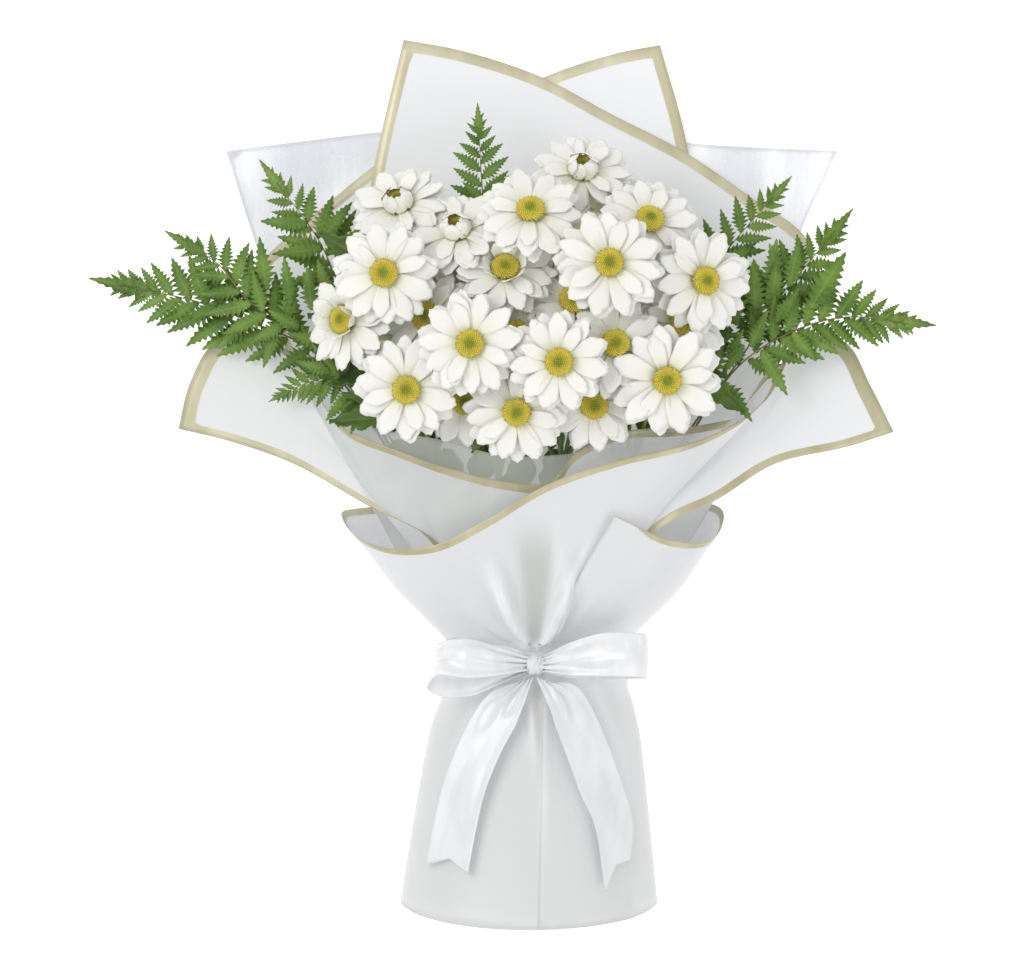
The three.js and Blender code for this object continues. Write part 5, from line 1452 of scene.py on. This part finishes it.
# %% Spray data in mm: stem points, blooms counted from 0, leaves as base, tip and width
SPRAYS = {
    "spray_left": (
        [(-1, -222, 13), (-6, -101, 38), (-28, -40, 56), (-44, 10, 72)],
        [4, 5, 10, 18, 21],
        [
            ((-70, 38, 96), (-100, 36, 96), 13), ((-92, 68, 88), (-121, 68, 84), 14),
            ((-84, 128, 82), (-108, 142, 80), 12), ((-40, 52, 84), (-92, 50, 96), 22),
            ((-62, 84, 84), (-98, 76, 96), 20), ((-50, 30, 74), (-66, 2, 72), 16),
            ((-36, 20, 74), (-44, -12, 70), 14), ((-30, 14, 72), (-58, -14, 67), 20),
            ((-44, 26, 74), (-76, 4, 62), 20), ((-56, 50, 80), (-68, 30, 82), 16),
            ((-70, 60, 92), (-97, 36, 90), 16), ((-74, 70, 84), (-106, 58, 84), 18),
            ((-80, 100, 84), (-112, 96, 82), 18),
        ],
    ),
    "spray_middle_left": (
        [(6, -226, 13), (6, -101, 44), (-4, -40, 62), (-8, 10, 76)],
        [0, 2, 14, 16, 17],
        [
            ((-16, 34, 96), (-22, 19, 96), 8), ((-20, 60, 84), (-40, 26, 84), 18),
            ((-14, 30, 76), (-22, -10, 72), 15), ((4, 30, 76), (8, -14, 72), 14),
            ((0, 60, 84), (22, 24, 88), 18), ((-20, 0, 70), (-34, -36, 61), 18),
            ((0, 6, 70), (-6, -36, 63), 16), ((-20, 46, 84), (-18, 22, 85), 16),
            ((10, 50, 86), (10, 24, 87), 14), ((-8, 110, 84), (-34, 120, 92), 18),
        ],
    ),
    "spray_middle_right": (
        [(20, -224, 13), (21, -101, 40), (24, -40, 60), (28, 10, 76)],
        [1, 11, 8, 13, 15, 6],
        [
            ((24, 48, 96), (28, 20, 99), 9), ((58, 50, 94), (64, 34, 96), 9),
            ((30, 60, 84), (50, 28, 90), 18), ((40, 84, 84), (84, 84, 94), 20),
            ((20, 110, 84), (30, 146, 90), 18), ((24, 20, 72), (22, -12, 72), 13),
            ((24, 6, 70), (32, -36, 62), 16), ((44, 50, 84), (48, 28, 84), 16),
        ],
    ),
    "spray_right": (
        [(29, -221, 13), (34, -101, 37), (52, -40, 54), (67, 8, 66)],
        [3, 9, 12, 19, 20, 7],
        [
            ((104, 64, 92), (130, 42, 94), 13), ((112, 92, 86), (134, 104, 88), 12),
            ((84, 60, 84), (122, 62, 92), 22), ((96, 90, 84), (128, 84, 94), 20),
            ((70, 50, 82), (88, 30, 86), 18), ((96, 66, 82), (122, 86, 84), 17),
            ((98, 104, 82), (126, 108, 84), 17), ((94, 128, 80), (118, 138, 80), 15),
        ],
    ),
}
STEM_RADII = [2.5 * MM, 2.3 * MM, 2.0 * MM]
PEDICEL_RADII = [1.3 * MM, 1.1 * MM, 1.1 * MM, 1.6 * MM]
CALYX_DEPTH, CALYX_RADIUS, CALYX_MIDDLE, CALYX_HALF_HEIGHT = 7.0, 5.6, -3.4, 3.6
BELOW_HEAD, FORK_RISE = 30 * MM, 4 * MM


def lobed(length, width):
    """A daisy's leaf along Y: a narrow foot and three pairs of toothed lobes."""

    def place(u, t):
        lobes = 0.62 + 0.38 * abs(math.sin(3.3 * math.pi * t + 0.3))
        profile = (0.18 + 0.82 * math.sin(math.pi * min(1, 0.08 + t**0.8))) * lobes
        teeth = 1 - 0.12 * ((t * 17) % 1)
        half = width / 2 * max(profile * teeth, 0.05)
        y = length * (t + 0.06 * abs(u) * math.sin(math.pi * t))
        z = 0.12 * width * abs(u) - 0.22 * length * (t - 0.4) ** 2 + 0.03 * width * math.sin(9 * t + 4 * u)
        return Vector((half * u, y, z)) * MM

    return place


def build_spray(name, stem, blooms, leaves, draw):
    """A main stem, a branch with its cup of scales to each bloom, and the leaves."""
    green = bmesh.new()
    main = evenly(through(stem), np.linspace(0, 1, 40)) * MM
    tube(green, main, STEM_RADII, 10)
    fork = Vector(main[-2])
    for index in blooms:
        matrix = heads[index]
        foot = matrix @ Vector((0, 0, -CALYX_DEPTH * MM))
        below = matrix @ Vector((0, 0, -BELOW_HEAD))
        bow = fork.lerp(below, 0.5) + Vector((0, 0, FORK_RISE))
        line = evenly(through([fork, bow, below, foot]), np.linspace(0, 1, 16))
        tube(green, line, PEDICEL_RADII, 7)
        cup = bmesh.ops.create_uvsphere(green, u_segments=20, v_segments=10, radius=1)["verts"]
        for v in cup:
            radius = CALYX_RADIUS * (1 + 0.08 * math.cos(10 * math.atan2(v.co.y, v.co.x)))
            height = CALYX_MIDDLE + v.co.z * CALYX_HALF_HEIGHT
            v.co = Vector((v.co.x * radius, v.co.y * radius, height)) * MM
        bmesh.ops.transform(green, verts=cup, matrix=matrix)
    finished(green, name + "_stems", stem_material, [name])
    leafy = bmesh.new()
    leafy.loops.layers.uv.new("UVMap")
    for base, tip, width in leaves:
        line = np.array([base, tip], float) * MM
        length = np.linalg.norm(line[1] - line[0]) / MM * draw.uniform(1.0, 1.15)
        leaf = grid_mesh("leaf", 6, 34, lobed(length, width * 1.25), thickness=0.35 * MM)
        roll = Matrix.Rotation(draw.uniform(-0.35, 0.35), 4, "Y")
        stamp(leafy, leaf, travel(line)[0] @ roll)
    finished(leafy, name + "_leaves", leaf_green, [name])


draw = random.Random(23)
for name, spray in SPRAYS.items():
    build_spray(name, *spray, draw)
